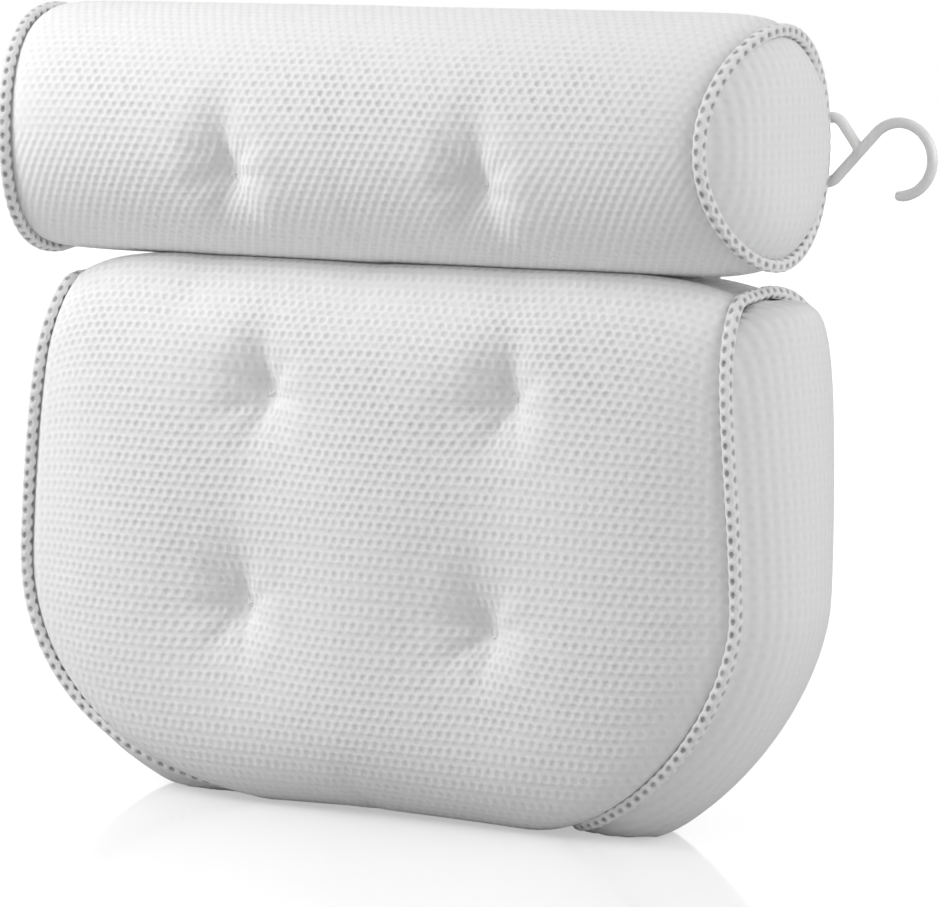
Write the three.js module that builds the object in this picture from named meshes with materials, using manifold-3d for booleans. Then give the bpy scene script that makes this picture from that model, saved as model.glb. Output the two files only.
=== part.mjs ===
// Two-panel bath pillow: a neck roll hinged on top of a back cushion, both covered in white spacer mesh.
// Each panel is a filled cover with tufts and bound end seams. The backs carry suction cups and a hook.
// Millimetres, +Z up, the front faces -Y, and the origin is the middle of the cushion's flat foot.
import * as THREE from "three";
import { mergeVertices } from "three/addons/utils/BufferGeometryUtils.js";
import Module from "manifold-3d";

const wasm = await Module();
wasm.setup();

// Fabric and fits
const FABRIC = 4; // thickness of the spacer mesh
const CLEARANCE = 0.3; // gap between pieces that are sewn or seated together
const FILLING_GAP = 1; // between the filling and the covers round it
const BINDING_RADIUS = 2.6; // folded mesh edge round each end seam
const BACK = 50; // plane of both backs, behind the origin
const CROWN_POWER = 4; // how late the swell of a panel falls off towards its ends
const BACK_SEAM_ANGLE = THREE.MathUtils.degToRad(42); // where the wrap meets the back panel

// Cushion
const CUSHION_HEIGHT = 255;
const CUSHION_FRONT = 59; // crown of the front, ahead of the origin
const CUSHION_SQUARENESS = 4.5; // exponent of the rounded square of its middle section
const FOOT_SINK = 3; // depth pressed flat where it stands
const SIDE_HALF_WIDTH = 190; // side seam from the middle, at half height
const FOOT_HALF_WIDTH = 89; // side seam from the middle, under the foot
const TOP_TAPER = 7; // how much narrower the side seam is at the top
const CORNER_RISE = 95; // height where the lower corners begin to turn in
const CORNER_ROUNDNESS = 2.1; // exponent of the lower corner's curve
const SEAM_DROP = 11; // side seam's top below the crown of the top
const SEAM_FRONT = 45; // side seam ahead of the origin
const SEAM_BACK_TOP = 50; // side seam behind the origin, at the top
const SEAM_BACK_FOOT = 33; // and at the foot
const SEAM_SQUARENESS = 5; // exponent of the rounded square of the side seam's lower half
const ARCH_SQUARENESS = 3.8; // and of its upper half
const SIDE_BULGE = 16; // swell of the side panels
const SIDE_FULLNESS = 3; // how late it falls off as the panel narrows

// Roll
const ROLL_LENGTH = 373; // between its end seams
const ROLL_RADIUS = 59.5; // at the middle
const ROLL_END_RADIUS = 50; // at the end seams
const ROLL_DOME = 26; // swell of the round end panels
const ROLL_FULLNESS = 1;

// Tufts, seen from the front
const UPPER_TUFT_DROP = 57.5; // below the cushion's top
const LOWER_TUFT_RISE = 92; // above the foot
const ROLL_TUFT_DROP = 18.3; // below the roll's axis
const UPPER_LEFT_TUFT_X = -52;
const UPPER_RIGHT_TUFT_X = 79;
const LOWER_LEFT_TUFT_X = -66;
const LOWER_RIGHT_TUFT_X = 70;
const ROLL_LEFT_TUFT_X = -63;
const ROLL_RIGHT_TUFT_X = 70;
const TUFT_DEPTH = 21;
const TUFT_RADIUS = 46;
const THREAD_RADIUS = 1.2;
const KNOT_RADIUS = 2.5;

// Suction cups and their eyelets
const CUSHION_CUP_X = 110;
const LOWER_CUP_RISE = 62; // above the foot
const UPPER_CUP_DROP = 69; // below the cushion's top
const ROLL_CUP_X = 90;
const CUP_RADIUS = 21;
const CUP_RIM = 2.5; // width of the flat rim
const CUP_EDGE = 1.8; // thickness at the rim
const CUP_HEIGHT = 12; // seat to rim
const CUP_SHOULDER = 2.5; // straight shoulder above the seat
const CUP_HOLLOW = 3.4; // depth of the hollow behind the rim
const CUP_HOLLOW_WAIST = 2.55; // its depth half way out
const CUP_SHOULDER_RADIUS = 7;
const CUP_NECK_RADIUS = 4.5;
const CUP_HEAD_RADIUS = 6.6;
const CUP_HEAD = 3; // thickness of the head inside the cover
const CUP_TAB_WIDTH = 8;
const CUP_TAB_REACH = 8; // pull tab past the rim
const EYELET_RADIUS = 8.5;
const EYELET_THICKNESS = 1.6;

// Hinge strip
const STRIP_THICKNESS = 2.5;
const STRIP_LENGTH = 330;
const STRIP_BELOW = 36; // sewn length on the cushion
const STRIP_ABOVE = 35; // sewn length on the roll
const HINGE_OFFSET = 3; // hinge line behind the backs

// Hanging hook and its webbing loop
const HOOK_ROD_RADIUS = 2.5;
const HOOK_INSET = 4.5; // eye bar inboard of the roll's end seam
const HOOK_DROP = 3.8; // middle of the eye below the roll's axis
const HOOK_EYE_SHOULDER = 10; // bar to where the eye's legs turn towards its tip
const HOOK_EYE_REACH = 20; // bar to the eye's tip
const HOOK_CORNER_RADIUS = 5;
const HOOK_SHANK = 19; // straight rod past the eye's tip
const HOOK_SHANK_ANGLE = THREE.MathUtils.degToRad(37);
const HOOK_BEND_RADIUS = 16.5;
const HOOK_BEND_TURN = THREE.MathUtils.degToRad(226);
const WEBBING_WIDTH = 19.5;
const WEBBING_THICKNESS = 1.2;
const WEBBING_TAIL = 26; // sewn length inboard of the bar

// Fineness of the facets
const WRAP_STEPS = 15; // along a cover
const STRIP_STEPS = 8; // along the hinge strip
const HALF_SECTION_STEPS = 15; // top to foot over the front
const CROWDED = 0.4; // share of a step at which a line gives way to a kept one
const SIDE_STEPS = 4; // across an end or side panel
const BINDING_SIDES = 6;
const ROUND_STEPS = 14;
const THREAD_STEPS = 8;
const DOME_STEPS = 3;
const ROD_SIDES = 8;
const EYE_STEPS = 30;
const BEND_STEPS = 10;
const SMALL_STEP = 1e-4; // for slopes, in radians or shares of a length
const MERGE_DISTANCE = 1e-4; // points closer than this are one
const HALVINGS = 50; // of the search for a place on a panel
const FINE_STEPS = 600; // of the walk that spreads the angles evenly
const TIP_ANGLE = THREE.MathUtils.degToRad(4); // where an end panel runs to a point

const RIGHT_ANGLE = Math.PI / 2;
const FULL_TURN = 2 * Math.PI;
const ROLL_Y = BACK - ROLL_RADIUS;
const ROLL_Z = CUSHION_HEIGHT + CLEARANCE + ROLL_RADIUS;
const SEAM_FOOT = 2 * (BINDING_RADIUS + CLEARANCE); // leaves room for the binding above the floor
const HINGE_Z = CUSHION_HEIGHT + CLEARANCE / 2;
const HINGE_Y = BACK + HINGE_OFFSET;
const SEAM_TOP = CUSHION_HEIGHT - SEAM_DROP;
const CUSHION_CUP_ROWS = { lower: LOWER_CUP_RISE, upper: CUSHION_HEIGHT - UPPER_CUP_DROP };
const CUSHION_TUFTS = {
  upper_left: { x: UPPER_LEFT_TUFT_X, z: CUSHION_HEIGHT - UPPER_TUFT_DROP },
  upper_right: { x: UPPER_RIGHT_TUFT_X, z: CUSHION_HEIGHT - UPPER_TUFT_DROP },
  lower_left: { x: LOWER_LEFT_TUFT_X, z: LOWER_TUFT_RISE },
  lower_right: { x: LOWER_RIGHT_TUFT_X, z: LOWER_TUFT_RISE },
};
const ROLL_TUFTS = {
  left: { x: ROLL_LEFT_TUFT_X, z: ROLL_Z - ROLL_TUFT_DROP },
  right: { x: ROLL_RIGHT_TUFT_X, z: ROLL_Z - ROLL_TUFT_DROP },
};

// A rounded square of half width 1 at an angle from +Y towards +Z.
function roundedSquare(angle, squareness) {
  const c = Math.cos(angle);
  const s = Math.sin(angle);
  const reach = (Math.abs(c) ** squareness + Math.abs(s) ** squareness) ** (-1 / squareness);
  return { c: c * reach, s: s * reach };
}

// Half width of the cushion at its side seam, rounded in towards the foot and tapered to the top.
function cushionHalfWidth(z, inset) {
  const drop = Math.max(0, CORNER_RISE - z) / (CORNER_RISE - SEAM_FOOT - inset);
  const turn = Math.max(0, 1 - drop ** CORNER_ROUNDNESS) ** (1 / CORNER_ROUNDNESS);
  const lean = Math.max(0, z - CORNER_RISE) / (SEAM_TOP - CORNER_RISE);
  return FOOT_HALF_WIDTH + (SIDE_HALF_WIDTH - FOOT_HALF_WIDTH) * turn - TOP_TAPER * lean ** 2 - inset;
}

// A panel form gives its right-hand end seam and its middle section, both drawn in by an inset.
const cushion = {
  floor: 0,
  bulge: SIDE_BULGE,
  fullness: SIDE_FULLNESS,
  halfDepth: (SEAM_FRONT + SEAM_BACK_TOP) / 2,
  tufts: Object.values(CUSHION_TUFTS),
  seam(angle, inset) {
    const squareness = Math.sin(angle) > 0 ? ARCH_SQUARENESS : SEAM_SQUARENESS;
    const { c, s } = roundedSquare(angle, squareness);
    const z = (SEAM_FOOT + SEAM_TOP) / 2 + s * ((SEAM_TOP - SEAM_FOOT) / 2 - inset);
    const seamBack = THREE.MathUtils.mapLinear(s, -1, 1, SEAM_BACK_FOOT, SEAM_BACK_TOP);
    const depth = (c > 0 ? seamBack : SEAM_FRONT) - inset;
    return new THREE.Vector3(cushionHalfWidth(z, inset), c * depth, z);
  },
  middle(angle, inset) {
    const { c, s } = roundedSquare(angle, CUSHION_SQUARENESS);
    const depth = (c > 0 ? BACK : CUSHION_FRONT) - inset;
    const z = (CUSHION_HEIGHT - FOOT_SINK) / 2 + s * ((CUSHION_HEIGHT + FOOT_SINK) / 2 - inset);
    return new THREE.Vector3(0, c * depth, z);
  },
};

const roll = {
  floor: CUSHION_HEIGHT,
  bulge: ROLL_DOME,
  fullness: ROLL_FULLNESS,
  halfDepth: ROLL_END_RADIUS,
  tufts: Object.values(ROLL_TUFTS),
  seam(angle, inset) {
    const radius = ROLL_END_RADIUS - inset;
    const y = ROLL_Y + radius * Math.cos(angle);
    return new THREE.Vector3(ROLL_LENGTH / 2 - inset, y, ROLL_Z + radius * Math.sin(angle));
  },
  middle(angle, inset) {
    const radius = ROLL_RADIUS - inset;
    return new THREE.Vector3(0, ROLL_Y + radius * Math.cos(angle), ROLL_Z + radius * Math.sin(angle));
  },
};

// The swollen wrap of a panel before its tufts are sewn. along runs from -1 at the left seam to 1.
function swollenPoint(form, along, angle, inset, trim = 0) {
  const end = form.seam(angle, inset);
  const swell = 1 - Math.abs(along) ** CROWN_POWER;
  const point = end.clone().lerp(form.middle(angle, inset), swell);
  point.x = along * (end.x - trim);
  point.z = Math.max(point.z, form.floor + inset);
  return point;
}

// How far the tufts draw the front in at a place on it.
function tuftDraw(form, x, z) {
  const draws = form.tufts.map((tuft) => {
    const share = Math.hypot(x - tuft.x, z - tuft.z) / TUFT_RADIUS;
    return TUFT_DEPTH * Math.max(0, 1 - share) ** 2;
  });
  return Math.max(...draws);
}

// The wrap with its tufts. Every layer of one place is drawn in alike, and only as far as it faces front.
function wrapPoint(form, along, angle, inset, trim = 0) {
  const point = swollenPoint(form, along, angle, inset, trim);
  const outside = swollenPoint(form, along, angle, 0);
  const facing = Math.min(1, Math.max(0, -2 * Math.cos(angle)));
  point.y += facing * tuftDraw(form, outside.x, outside.z);
  return point;
}

// Where a place on the front or the back lies on the wrap: its share of the length and its angle.
function placeOnWrap(form, place, isFront) {
  let upper = RIGHT_ANGLE;
  let lower = isFront ? 3 * RIGHT_ANGLE : -RIGHT_ANGLE;
  for (let step = 0; step < HALVINGS; step += 1) {
    const angle = (upper + lower) / 2;
    const along = place.x / form.seam(angle, 0).x;
    if (swollenPoint(form, along, angle, 0).z > place.z) upper = angle;
    else lower = angle;
  }
  return { along: place.x / form.seam(upper, 0).x, angle: upper };
}

// Depth of the back's outside at a place, and the furthest back that it reaches round that place.
function backAt(form, x, z) {
  const { along, angle } = placeOnWrap(form, { x, z }, false);
  return swollenPoint(form, along, angle, 0).y;
}

function furthestBack(form, x, z, reachX, reachZ) {
  const shares = [-1, 0, 1];
  const depths = shares.flatMap((i) => shares.map((j) => backAt(form, x + i * reachX, z + j * reachZ)));
  return Math.max(...depths);
}

// Evenly spread values with the kept ones among them, in place of their close neighbours.
function linesThrough(even, kept) {
  const last = even.length - 1;
  const isFree = (value, i) => {
    const step = i < last ? even[i + 1] - value : value - even[i - 1];
    return kept.every((k) => Math.abs(k - value) > CROWDED * step);
  };
  const lines = even.filter((value, i) => i === 0 || i === last || isFree(value, i));
  const sorted = [...lines, ...kept].sort((a, b) => a - b);
  return sorted.filter((value, i) => i === 0 || value - sorted[i - 1] > SMALL_STEP);
}

function evenSteps(first, last, count) {
  return Array.from({ length: count + 1 }, (_, i) => first + ((last - first) * i) / count);
}

// Angles from the top over the front to the foot, at even steps along the middle section.
function evenAngles(form) {
  const fine = evenSteps(RIGHT_ANGLE, 3 * RIGHT_ANGLE, FINE_STEPS);
  const points = fine.map((angle) => form.middle(angle, 0));
  const lengths = [0];
  for (let i = 1; i < points.length; i += 1) {
    lengths.push(lengths[i - 1] + points[i].distanceTo(points[i - 1]));
  }
  const total = lengths[lengths.length - 1];
  return evenSteps(0, total, HALF_SECTION_STEPS).map((want) => {
    const at = lengths.findIndex((length) => length >= want - MERGE_DISTANCE);
    return fine[at];
  });
}

// The grid lines of a panel: shares along it, and angles over its front and, mirrored, its back.
function panelLines(form) {
  const places = form.tufts.map((tuft) => placeOnWrap(form, tuft, true));
  const along = linesThrough(evenSteps(-1, 1, WRAP_STEPS), places.map((place) => place.along));
  const backSeams = [2 * RIGHT_ANGLE - BACK_SEAM_ANGLE, 2 * RIGHT_ANGLE + BACK_SEAM_ANGLE];
  const front = linesThrough(evenAngles(form), [...places.map((place) => place.angle), ...backSeams]);
  const back = front.map((angle) => 2 * RIGHT_ANGLE - angle).reverse();
  return { along, front, back };
}

// A closed solid from loose triangles: points are merged, empty triangles dropped, faces turned out.
function closedSolid(corners) {
  const loose = new THREE.BufferGeometry().setFromPoints(corners);
  const merged = mergeVertices(loose, MERGE_DISTANCE);
  const index = [];
  let volume = 0;
  const [a, b, c] = [new THREE.Vector3(), new THREE.Vector3(), new THREE.Vector3()];
  for (let i = 0; i < merged.index.count; i += 3) {
    const face = [0, 1, 2].map((k) => merged.index.getX(i + k));
    if (new Set(face).size < 3) continue;
    index.push(...face);
    [a, b, c].forEach((corner, k) => corner.fromBufferAttribute(merged.attributes.position, face[k]));
    volume += a.dot(b.cross(c));
  }
  merged.setIndex(volume < 0 ? index.reverse() : index);
  return merged;
}

// The two triangles of each cell of a grid of points, split along the cell's shorter diagonal.
function gridTriangles(grid, isFlipped = false) {
  const corners = [];
  for (let i = 0; i + 1 < grid.length; i += 1) {
    for (let j = 0; j + 1 < grid[i].length; j += 1) {
      const [a, b, c, d] = [grid[i][j], grid[i + 1][j], grid[i + 1][j + 1], grid[i][j + 1]];
      const cell = a.distanceTo(c) < b.distanceTo(d) ? [a, b, c, a, c, d] : [a, b, d, b, c, d];
      corners.push(...(isFlipped ? cell.reverse() : cell));
    }
  }
  return corners;
}

// A sheet between two grids of points, with walls along its four edges.
function sheet(outer, inner) {
  const edges = (grid) => [
    grid.map((row) => row[0]),
    grid[grid.length - 1],
    grid.map((row) => row[row.length - 1]).reverse(),
    [...grid[0]].reverse(),
  ];
  const outerEdges = edges(outer);
  const walls = edges(inner).flatMap((edge, i) => gridTriangles([edge, outerEdges[i]]));
  return closedSolid([...gridTriangles(outer, true), ...gridTriangles(inner), ...walls]);
}

function wrapGrid(form, along, angles, inset, trim) {
  return along.map((share) => angles.map((angle) => wrapPoint(form, share, angle, inset, trim)));
}

// Part of the wrap between two angles, kept clear of the seams at its edges.
function wrapSheet(form, lines, along, from, to) {
  const slope = (angle) => {
    const ahead = form.middle(angle + SMALL_STEP, 0);
    return ahead.distanceTo(form.middle(angle, 0)) / SMALL_STEP;
  };
  const start = from + CLEARANCE / slope(from);
  const stop = to - CLEARANCE / slope(to);
  const turns = [-FULL_TURN, 0, FULL_TURN];
  const every = turns.flatMap((turn) => [...lines.front, ...lines.back].map((angle) => angle + turn));
  const inside = every.filter((angle) => angle > start + SMALL_STEP && angle < stop - SMALL_STEP);
  const sorted = inside.sort((a, b) => a - b);
  const single = sorted.filter((angle, i) => i === 0 || angle - sorted[i - 1] > SMALL_STEP);
  const angles = [start, ...single, stop];
  const grids = [0, FABRIC].map((inset) => wrapGrid(form, along, angles, inset, CLEARANCE));
  return sheet(grids[0], grids[1]);
}

// Direction square to the end seam in the X-Z plane, pointing out of the right-hand end.
function endNormal(form, angle) {
  const before = form.seam(angle - SMALL_STEP, 0);
  const after = form.seam(angle + SMALL_STEP, 0);
  const normal = new THREE.Vector3(before.z - after.z, 0, after.x - before.x);
  return normal.length() > SMALL_STEP ** 2 ? normal.normalize() : normal.set(1, 0, 0);
}

// A right-hand end panel: strips across it from the front of its seam to the back, swollen outwards.
function endPoint(form, angle, across, inset) {
  const front = form.seam(angle, inset);
  const back = form.seam(2 * RIGHT_ANGLE - angle, inset);
  const halfWidth = (back.y - front.y) / 2;
  const narrowing = 1 - Math.min(1, halfWidth / form.halfDepth) ** 2;
  const swell = form.bulge * (1 - narrowing ** form.fullness) * (1 - across ** 2);
  const point = front.clone().lerp(back, (1 + across) / 2);
  point.addScaledVector(endNormal(form, angle), swell);
  point.z = Math.max(point.z, form.floor + inset);
  return point;
}

function mirrored(point) {
  return new THREE.Vector3(-point.x, point.y, point.z);
}

function endGrid(form, lines, inset, isLeft) {
  const across = evenSteps(-1, 1, SIDE_STEPS);
  const grid = lines.front.map((angle) => across.map((share) => endPoint(form, angle, share, inset)));
  return isLeft ? grid.map((row) => row.map(mirrored)) : grid;
}

function endPanel(form, lines, isLeft) {
  return sheet(endGrid(form, lines, 0, isLeft), endGrid(form, lines, FABRIC, isLeft));
}

// The filling takes up the whole inside of the cover.
function filling(form, lines) {
  const inset = FABRIC + FILLING_GAP;
  const loop = [...lines.back.slice(0, -1), ...lines.front];
  const wrap = wrapGrid(form, lines.along, loop, inset, 0);
  const right = endGrid(form, lines, inset, false);
  const left = endGrid(form, lines, inset, true);
  return closedSolid([...gridTriangles(wrap, true), ...gridTriangles(right), ...gridTriangles(left, true)]);
}

// Square to the wrap at its right-hand seam, pointing out.
function wrapNormal(form, angle) {
  const here = form.seam(angle, 0);
  const inboard = swollenPoint(form, 1 - SMALL_STEP, angle, 0).sub(here);
  const onward = form.seam(angle + SMALL_STEP, 0).sub(here);
  return inboard.cross(onward).normalize();
}

// Square to the right-hand end panel beside its seam, pointing out.
function endEdgeNormal(form, angle) {
  const isBack = Math.cos(angle) > 0;
  const frontAngle = isBack ? 2 * RIGHT_ANGLE - angle : angle;
  const row = THREE.MathUtils.clamp(frontAngle, RIGHT_ANGLE + TIP_ANGLE, 3 * RIGHT_ANGLE - TIP_ANGLE);
  const across = isBack ? 1 - SMALL_STEP : SMALL_STEP - 1;
  const here = endPoint(form, row, across, 0);
  const down = endPoint(form, row + SMALL_STEP, across, 0).sub(here);
  const back = endPoint(form, row, across + SMALL_STEP, 0).sub(here);
  return down.cross(back).normalize();
}

// The folded edge of mesh that is sewn round an end seam stands on the corner of the two panels.
function binding(form, lines, isLeft) {
  const loop = [...lines.back.slice(0, -1), ...lines.front.slice(0, -1)];
  const outs = loop.map((angle) => wrapNormal(form, angle).add(endEdgeNormal(form, angle)).normalize());
  const path = loop.map((angle, i) => {
    return form.seam(angle, 0).addScaledVector(outs[i], BINDING_RADIUS + CLEARANCE);
  });
  const rings = path.map((centre, i) => {
    const after = path[(i + 1) % path.length];
    const before = path[(i + path.length - 1) % path.length];
    const side = after.clone().sub(before).cross(outs[i]).normalize();
    const ring = evenSteps(0, FULL_TURN, BINDING_SIDES).map((turn) => {
      const point = centre.clone().addScaledVector(outs[i], BINDING_RADIUS * Math.cos(turn));
      return point.addScaledVector(side, BINDING_RADIUS * Math.sin(turn));
    });
    return isLeft ? ring.map(mirrored) : ring;
  });
  return closedSolid(gridTriangles([...rings, rings[0]]));
}

// A stock geometry as one closed solid with merged points.
function solidOf(geometry) {
  const loose = geometry.index ? geometry.toNonIndexed() : geometry;
  const position = loose.attributes.position;
  const corners = Array.from({ length: position.count }, (_, i) => {
    return new THREE.Vector3().fromBufferAttribute(position, i);
  });
  return closedSolid(corners);
}

function manifoldOf(geometry) {
  return new wasm.Manifold(
    new wasm.Mesh({
      numProp: 3,
      vertProperties: new Float32Array(geometry.attributes.position.array),
      triVerts: new Uint32Array(geometry.index.array),
    }),
  );
}

function geometryOf(manifold) {
  const { vertProperties, triVerts } = manifold.getMesh();
  const geometry = new THREE.BufferGeometry();
  geometry.setAttribute("position", new THREE.BufferAttribute(vertProperties, 3));
  return geometry.setIndex(new THREE.BufferAttribute(triVerts, 1));
}

function cut(geometry, cutters) {
  const whole = manifoldOf(geometry);
  return geometryOf(cutters.reduce((solid, cutter) => solid.subtract(manifoldOf(cutter)), whole));
}

function join(first, second) {
  return geometryOf(manifoldOf(first).add(manifoldOf(second)));
}

// A turned solid about the Y axis from [radius, y] pairs that start and end on the axis.
function turned(profile, steps) {
  return solidOf(new THREE.LatheGeometry(profile.map(([r, y]) => new THREE.Vector2(r, y)), steps));
}

function movedTo(geometry, x, y, z) {
  return geometry.clone().translate(x, y, z);
}

// A tuft's thread with a knot at each end. It runs along Y from the bottom of the tuft to the back.
function tuftThread(form, tuft) {
  const { along, angle } = placeOnWrap(form, tuft, true);
  const here = swollenPoint(form, along, angle, 0);
  const onward = swollenPoint(form, along, angle + SMALL_STEP, 0).sub(here);
  const steepest = Math.abs(onward.y / onward.z) + (2 * TUFT_DEPTH) / TUFT_RADIUS;
  const bottom = wrapPoint(form, along, angle, 0).y;
  const front = bottom - (KNOT_RADIUS + CLEARANCE) * Math.hypot(1, steepest);
  const back = furthestBack(form, tuft.x, tuft.z, KNOT_RADIUS, KNOT_RADIUS) + KNOT_RADIUS + CLEARANCE;
  const waist = Math.acos(THREAD_RADIUS / KNOT_RADIUS);
  const knot = (middle, from, to) => {
    return evenSteps(from, to, 4).map((lean) => {
      return [KNOT_RADIUS * Math.cos(lean), middle + KNOT_RADIUS * Math.sin(lean)];
    });
  };
  const profile = [...knot(front, -RIGHT_ANGLE, waist), ...knot(back, -waist, RIGHT_ANGLE)];
  return turned(profile, THREAD_STEPS).translate(tuft.x, 0, tuft.z);
}

// The hole that a thread takes through the cover, the filling and the back panel.
function threadHole(form, tuft) {
  const length = 2 * (CUSHION_FRONT + BACK + ROLL_RADIUS);
  const radius = THREAD_RADIUS + CLEARANCE;
  const hole = new THREE.CylinderGeometry(radius, radius, length, THREAD_STEPS);
  return solidOf(hole.translate(tuft.x, 0, tuft.z));
}

// Places of a suction cup's parts along its axis, from the outside of the back panel at y = 0.
const CUP_SEAT = EYELET_THICKNESS + 2 * CLEARANCE;
const CUP_HEAD_SEAT = -FABRIC - CLEARANCE;
const CUP_RIM_Y = CUP_SEAT + CUP_HEIGHT;

// A suction cup: a head inside the cover, a neck through the eyelet, and a flared cup with a pull tab.
function suctionCup() {
  const inside = CUP_RADIUS - CUP_RIM;
  const dome = evenSteps(0, RIGHT_ANGLE, DOME_STEPS).map((turn) => {
    const radius = CUP_SHOULDER_RADIUS + (CUP_RADIUS - CUP_SHOULDER_RADIUS) * Math.sin(turn);
    return [radius, CUP_SEAT + CUP_SHOULDER + (CUP_HEIGHT - CUP_SHOULDER - CUP_EDGE) * (1 - Math.cos(turn))];
  });
  const bell = turned(
    [
      [0, CUP_HEAD_SEAT - CUP_HEAD],
      [CUP_HEAD_RADIUS, CUP_HEAD_SEAT - CUP_HEAD],
      [CUP_HEAD_RADIUS, CUP_HEAD_SEAT],
      [CUP_NECK_RADIUS, CUP_HEAD_SEAT],
      [CUP_NECK_RADIUS, CUP_SEAT],
      [CUP_SHOULDER_RADIUS, CUP_SEAT],
      ...dome,
      [CUP_RADIUS, CUP_RIM_Y],
      [inside, CUP_RIM_Y],
      [inside / 2, CUP_RIM_Y - CUP_HOLLOW_WAIST],
      [0, CUP_RIM_Y - CUP_HOLLOW],
    ],
    ROUND_STEPS,
  );
  const tab = new THREE.BoxGeometry(CUP_TAB_WIDTH, CUP_EDGE, CUP_RIM + CUP_TAB_REACH);
  tab.translate(0, CUP_RIM_Y - CUP_EDGE, -(inside + CUP_RADIUS + CUP_TAB_REACH) / 2);
  return join(bell, solidOf(tab));
}

// The room that a cup's head and neck take in the back panel and the filling.
function cupSocket() {
  return turned(
    [
      [0, CUP_HEAD_SEAT - CUP_HEAD - CLEARANCE],
      [CUP_HEAD_RADIUS + CLEARANCE, CUP_HEAD_SEAT - CUP_HEAD - CLEARANCE],
      [CUP_HEAD_RADIUS + CLEARANCE, CUP_HEAD_SEAT + CLEARANCE],
      [CUP_NECK_RADIUS + CLEARANCE, CUP_HEAD_SEAT + CLEARANCE],
      [CUP_NECK_RADIUS + CLEARANCE, CUP_RIM_Y],
      [0, CUP_RIM_Y],
    ],
    ROUND_STEPS,
  );
}

function eyelet() {
  const hole = CUP_NECK_RADIUS + CLEARANCE;
  return turned(
    [
      [hole, CLEARANCE],
      [EYELET_RADIUS, CLEARANCE],
      [EYELET_RADIUS, CLEARANCE + EYELET_THICKNESS],
      [hole, CLEARANCE + EYELET_THICKNESS],
      [hole, CLEARANCE],
    ],
    ROUND_STEPS,
  );
}

function cupPlace(form, x, z) {
  return new THREE.Vector3(x, furthestBack(form, x, z, EYELET_RADIUS, EYELET_RADIUS), z);
}

// A strip of fabric from the straight hinge line to the swollen back that it is sewn on.
function hingeStrip(form, sewnZ, hingeGap) {
  const layer = (depth) =>
    evenSteps(-STRIP_LENGTH / 2, STRIP_LENGTH / 2, STRIP_STEPS).map((x) => [
      new THREE.Vector3(x, backAt(form, x, sewnZ) + CLEARANCE + depth, sewnZ),
      new THREE.Vector3(x, HINGE_Y - STRIP_THICKNESS + depth, HINGE_Z + hingeGap),
    ]);
  return sheet(layer(STRIP_THICKNESS), layer(0));
}

// The eye bar stands upright behind the right end of the roll, held by the webbing.
const HOOK_X = ROLL_LENGTH / 2 - HOOK_INSET;
const WEBBING_TAIL_X = HOOK_X - WEBBING_TAIL;
const WEBBING_EYE_RADIUS = HOOK_ROD_RADIUS + CLEARANCE;
const WEBBING_OUTER_RADIUS = WEBBING_EYE_RADIUS + WEBBING_THICKNESS;
const BINDING_BACK = ROLL_Y + ROLL_END_RADIUS + 2 * BINDING_RADIUS + CLEARANCE;
const HOOK_Y = BINDING_BACK + CLEARANCE + HOOK_ROD_RADIUS;

// The bar is straight across the webbing, between its rounded corners.
const HOOK_EYE_HEIGHT = WEBBING_WIDTH + 2 * HOOK_CORNER_RADIUS;

// A closed rod along the pointed eye, and a bent rod from its tip round the hook. X-Z plane, bar at 0.
function hangingHook() {
  const corners = [
    new THREE.Vector3(0, 0, -HOOK_EYE_HEIGHT / 2),
    new THREE.Vector3(HOOK_EYE_SHOULDER, 0, -HOOK_EYE_HEIGHT / 2),
    new THREE.Vector3(HOOK_EYE_REACH, 0, 0),
    new THREE.Vector3(HOOK_EYE_SHOULDER, 0, HOOK_EYE_HEIGHT / 2),
    new THREE.Vector3(0, 0, HOOK_EYE_HEIGHT / 2),
  ];
  const neighbour = (i) => corners[(i + corners.length) % corners.length].clone();
  const outline = new THREE.CurvePath();
  const rounded = corners.map((corner, i) => {
    const before = neighbour(i - 1).sub(corner).setLength(HOOK_CORNER_RADIUS).add(corner);
    const after = neighbour(i + 1).sub(corner).setLength(HOOK_CORNER_RADIUS).add(corner);
    return new THREE.QuadraticBezierCurve3(before, corner, after);
  });
  rounded.forEach((bend, i) => {
    outline.add(bend);
    outline.add(new THREE.LineCurve3(bend.v2, rounded[(i + 1) % rounded.length].v0));
  });
  const loop = new THREE.CatmullRomCurve3(outline.getSpacedPoints(EYE_STEPS).slice(0, -1), true);
  const eye = new THREE.TubeGeometry(loop, EYE_STEPS, HOOK_ROD_RADIUS, ROD_SIDES, true);
  return join(solidOf(eye), bentRod());
}

function bentRod() {
  const heading = new THREE.Vector3(Math.cos(HOOK_SHANK_ANGLE), 0, Math.sin(HOOK_SHANK_ANGLE));
  const start = new THREE.Vector3(HOOK_EYE_REACH - HOOK_CORNER_RADIUS / 2, 0, 0);
  const bendStart = start.clone().addScaledVector(heading, HOOK_SHANK);
  const across = new THREE.Vector3(heading.z, 0, -heading.x);
  const centre = bendStart.clone().addScaledVector(across, HOOK_BEND_RADIUS);
  const bend = evenSteps(0, HOOK_BEND_TURN, BEND_STEPS).map((turn) => {
    const point = centre.clone().addScaledVector(across, -HOOK_BEND_RADIUS * Math.cos(turn));
    return point.addScaledVector(heading, HOOK_BEND_RADIUS * Math.sin(turn));
  });
  const path = new THREE.CatmullRomCurve3([start, start.clone().lerp(bendStart, 0.5), ...bend]);
  const section = new THREE.Shape().absarc(0, 0, HOOK_ROD_RADIUS, 0, FULL_TURN);
  const shape = { extrudePath: path, steps: 2 * BEND_STEPS, curveSegments: ROD_SIDES / 2 };
  const rod = new THREE.ExtrudeGeometry(section, shape);
  return solidOf(rod);
}

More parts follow.
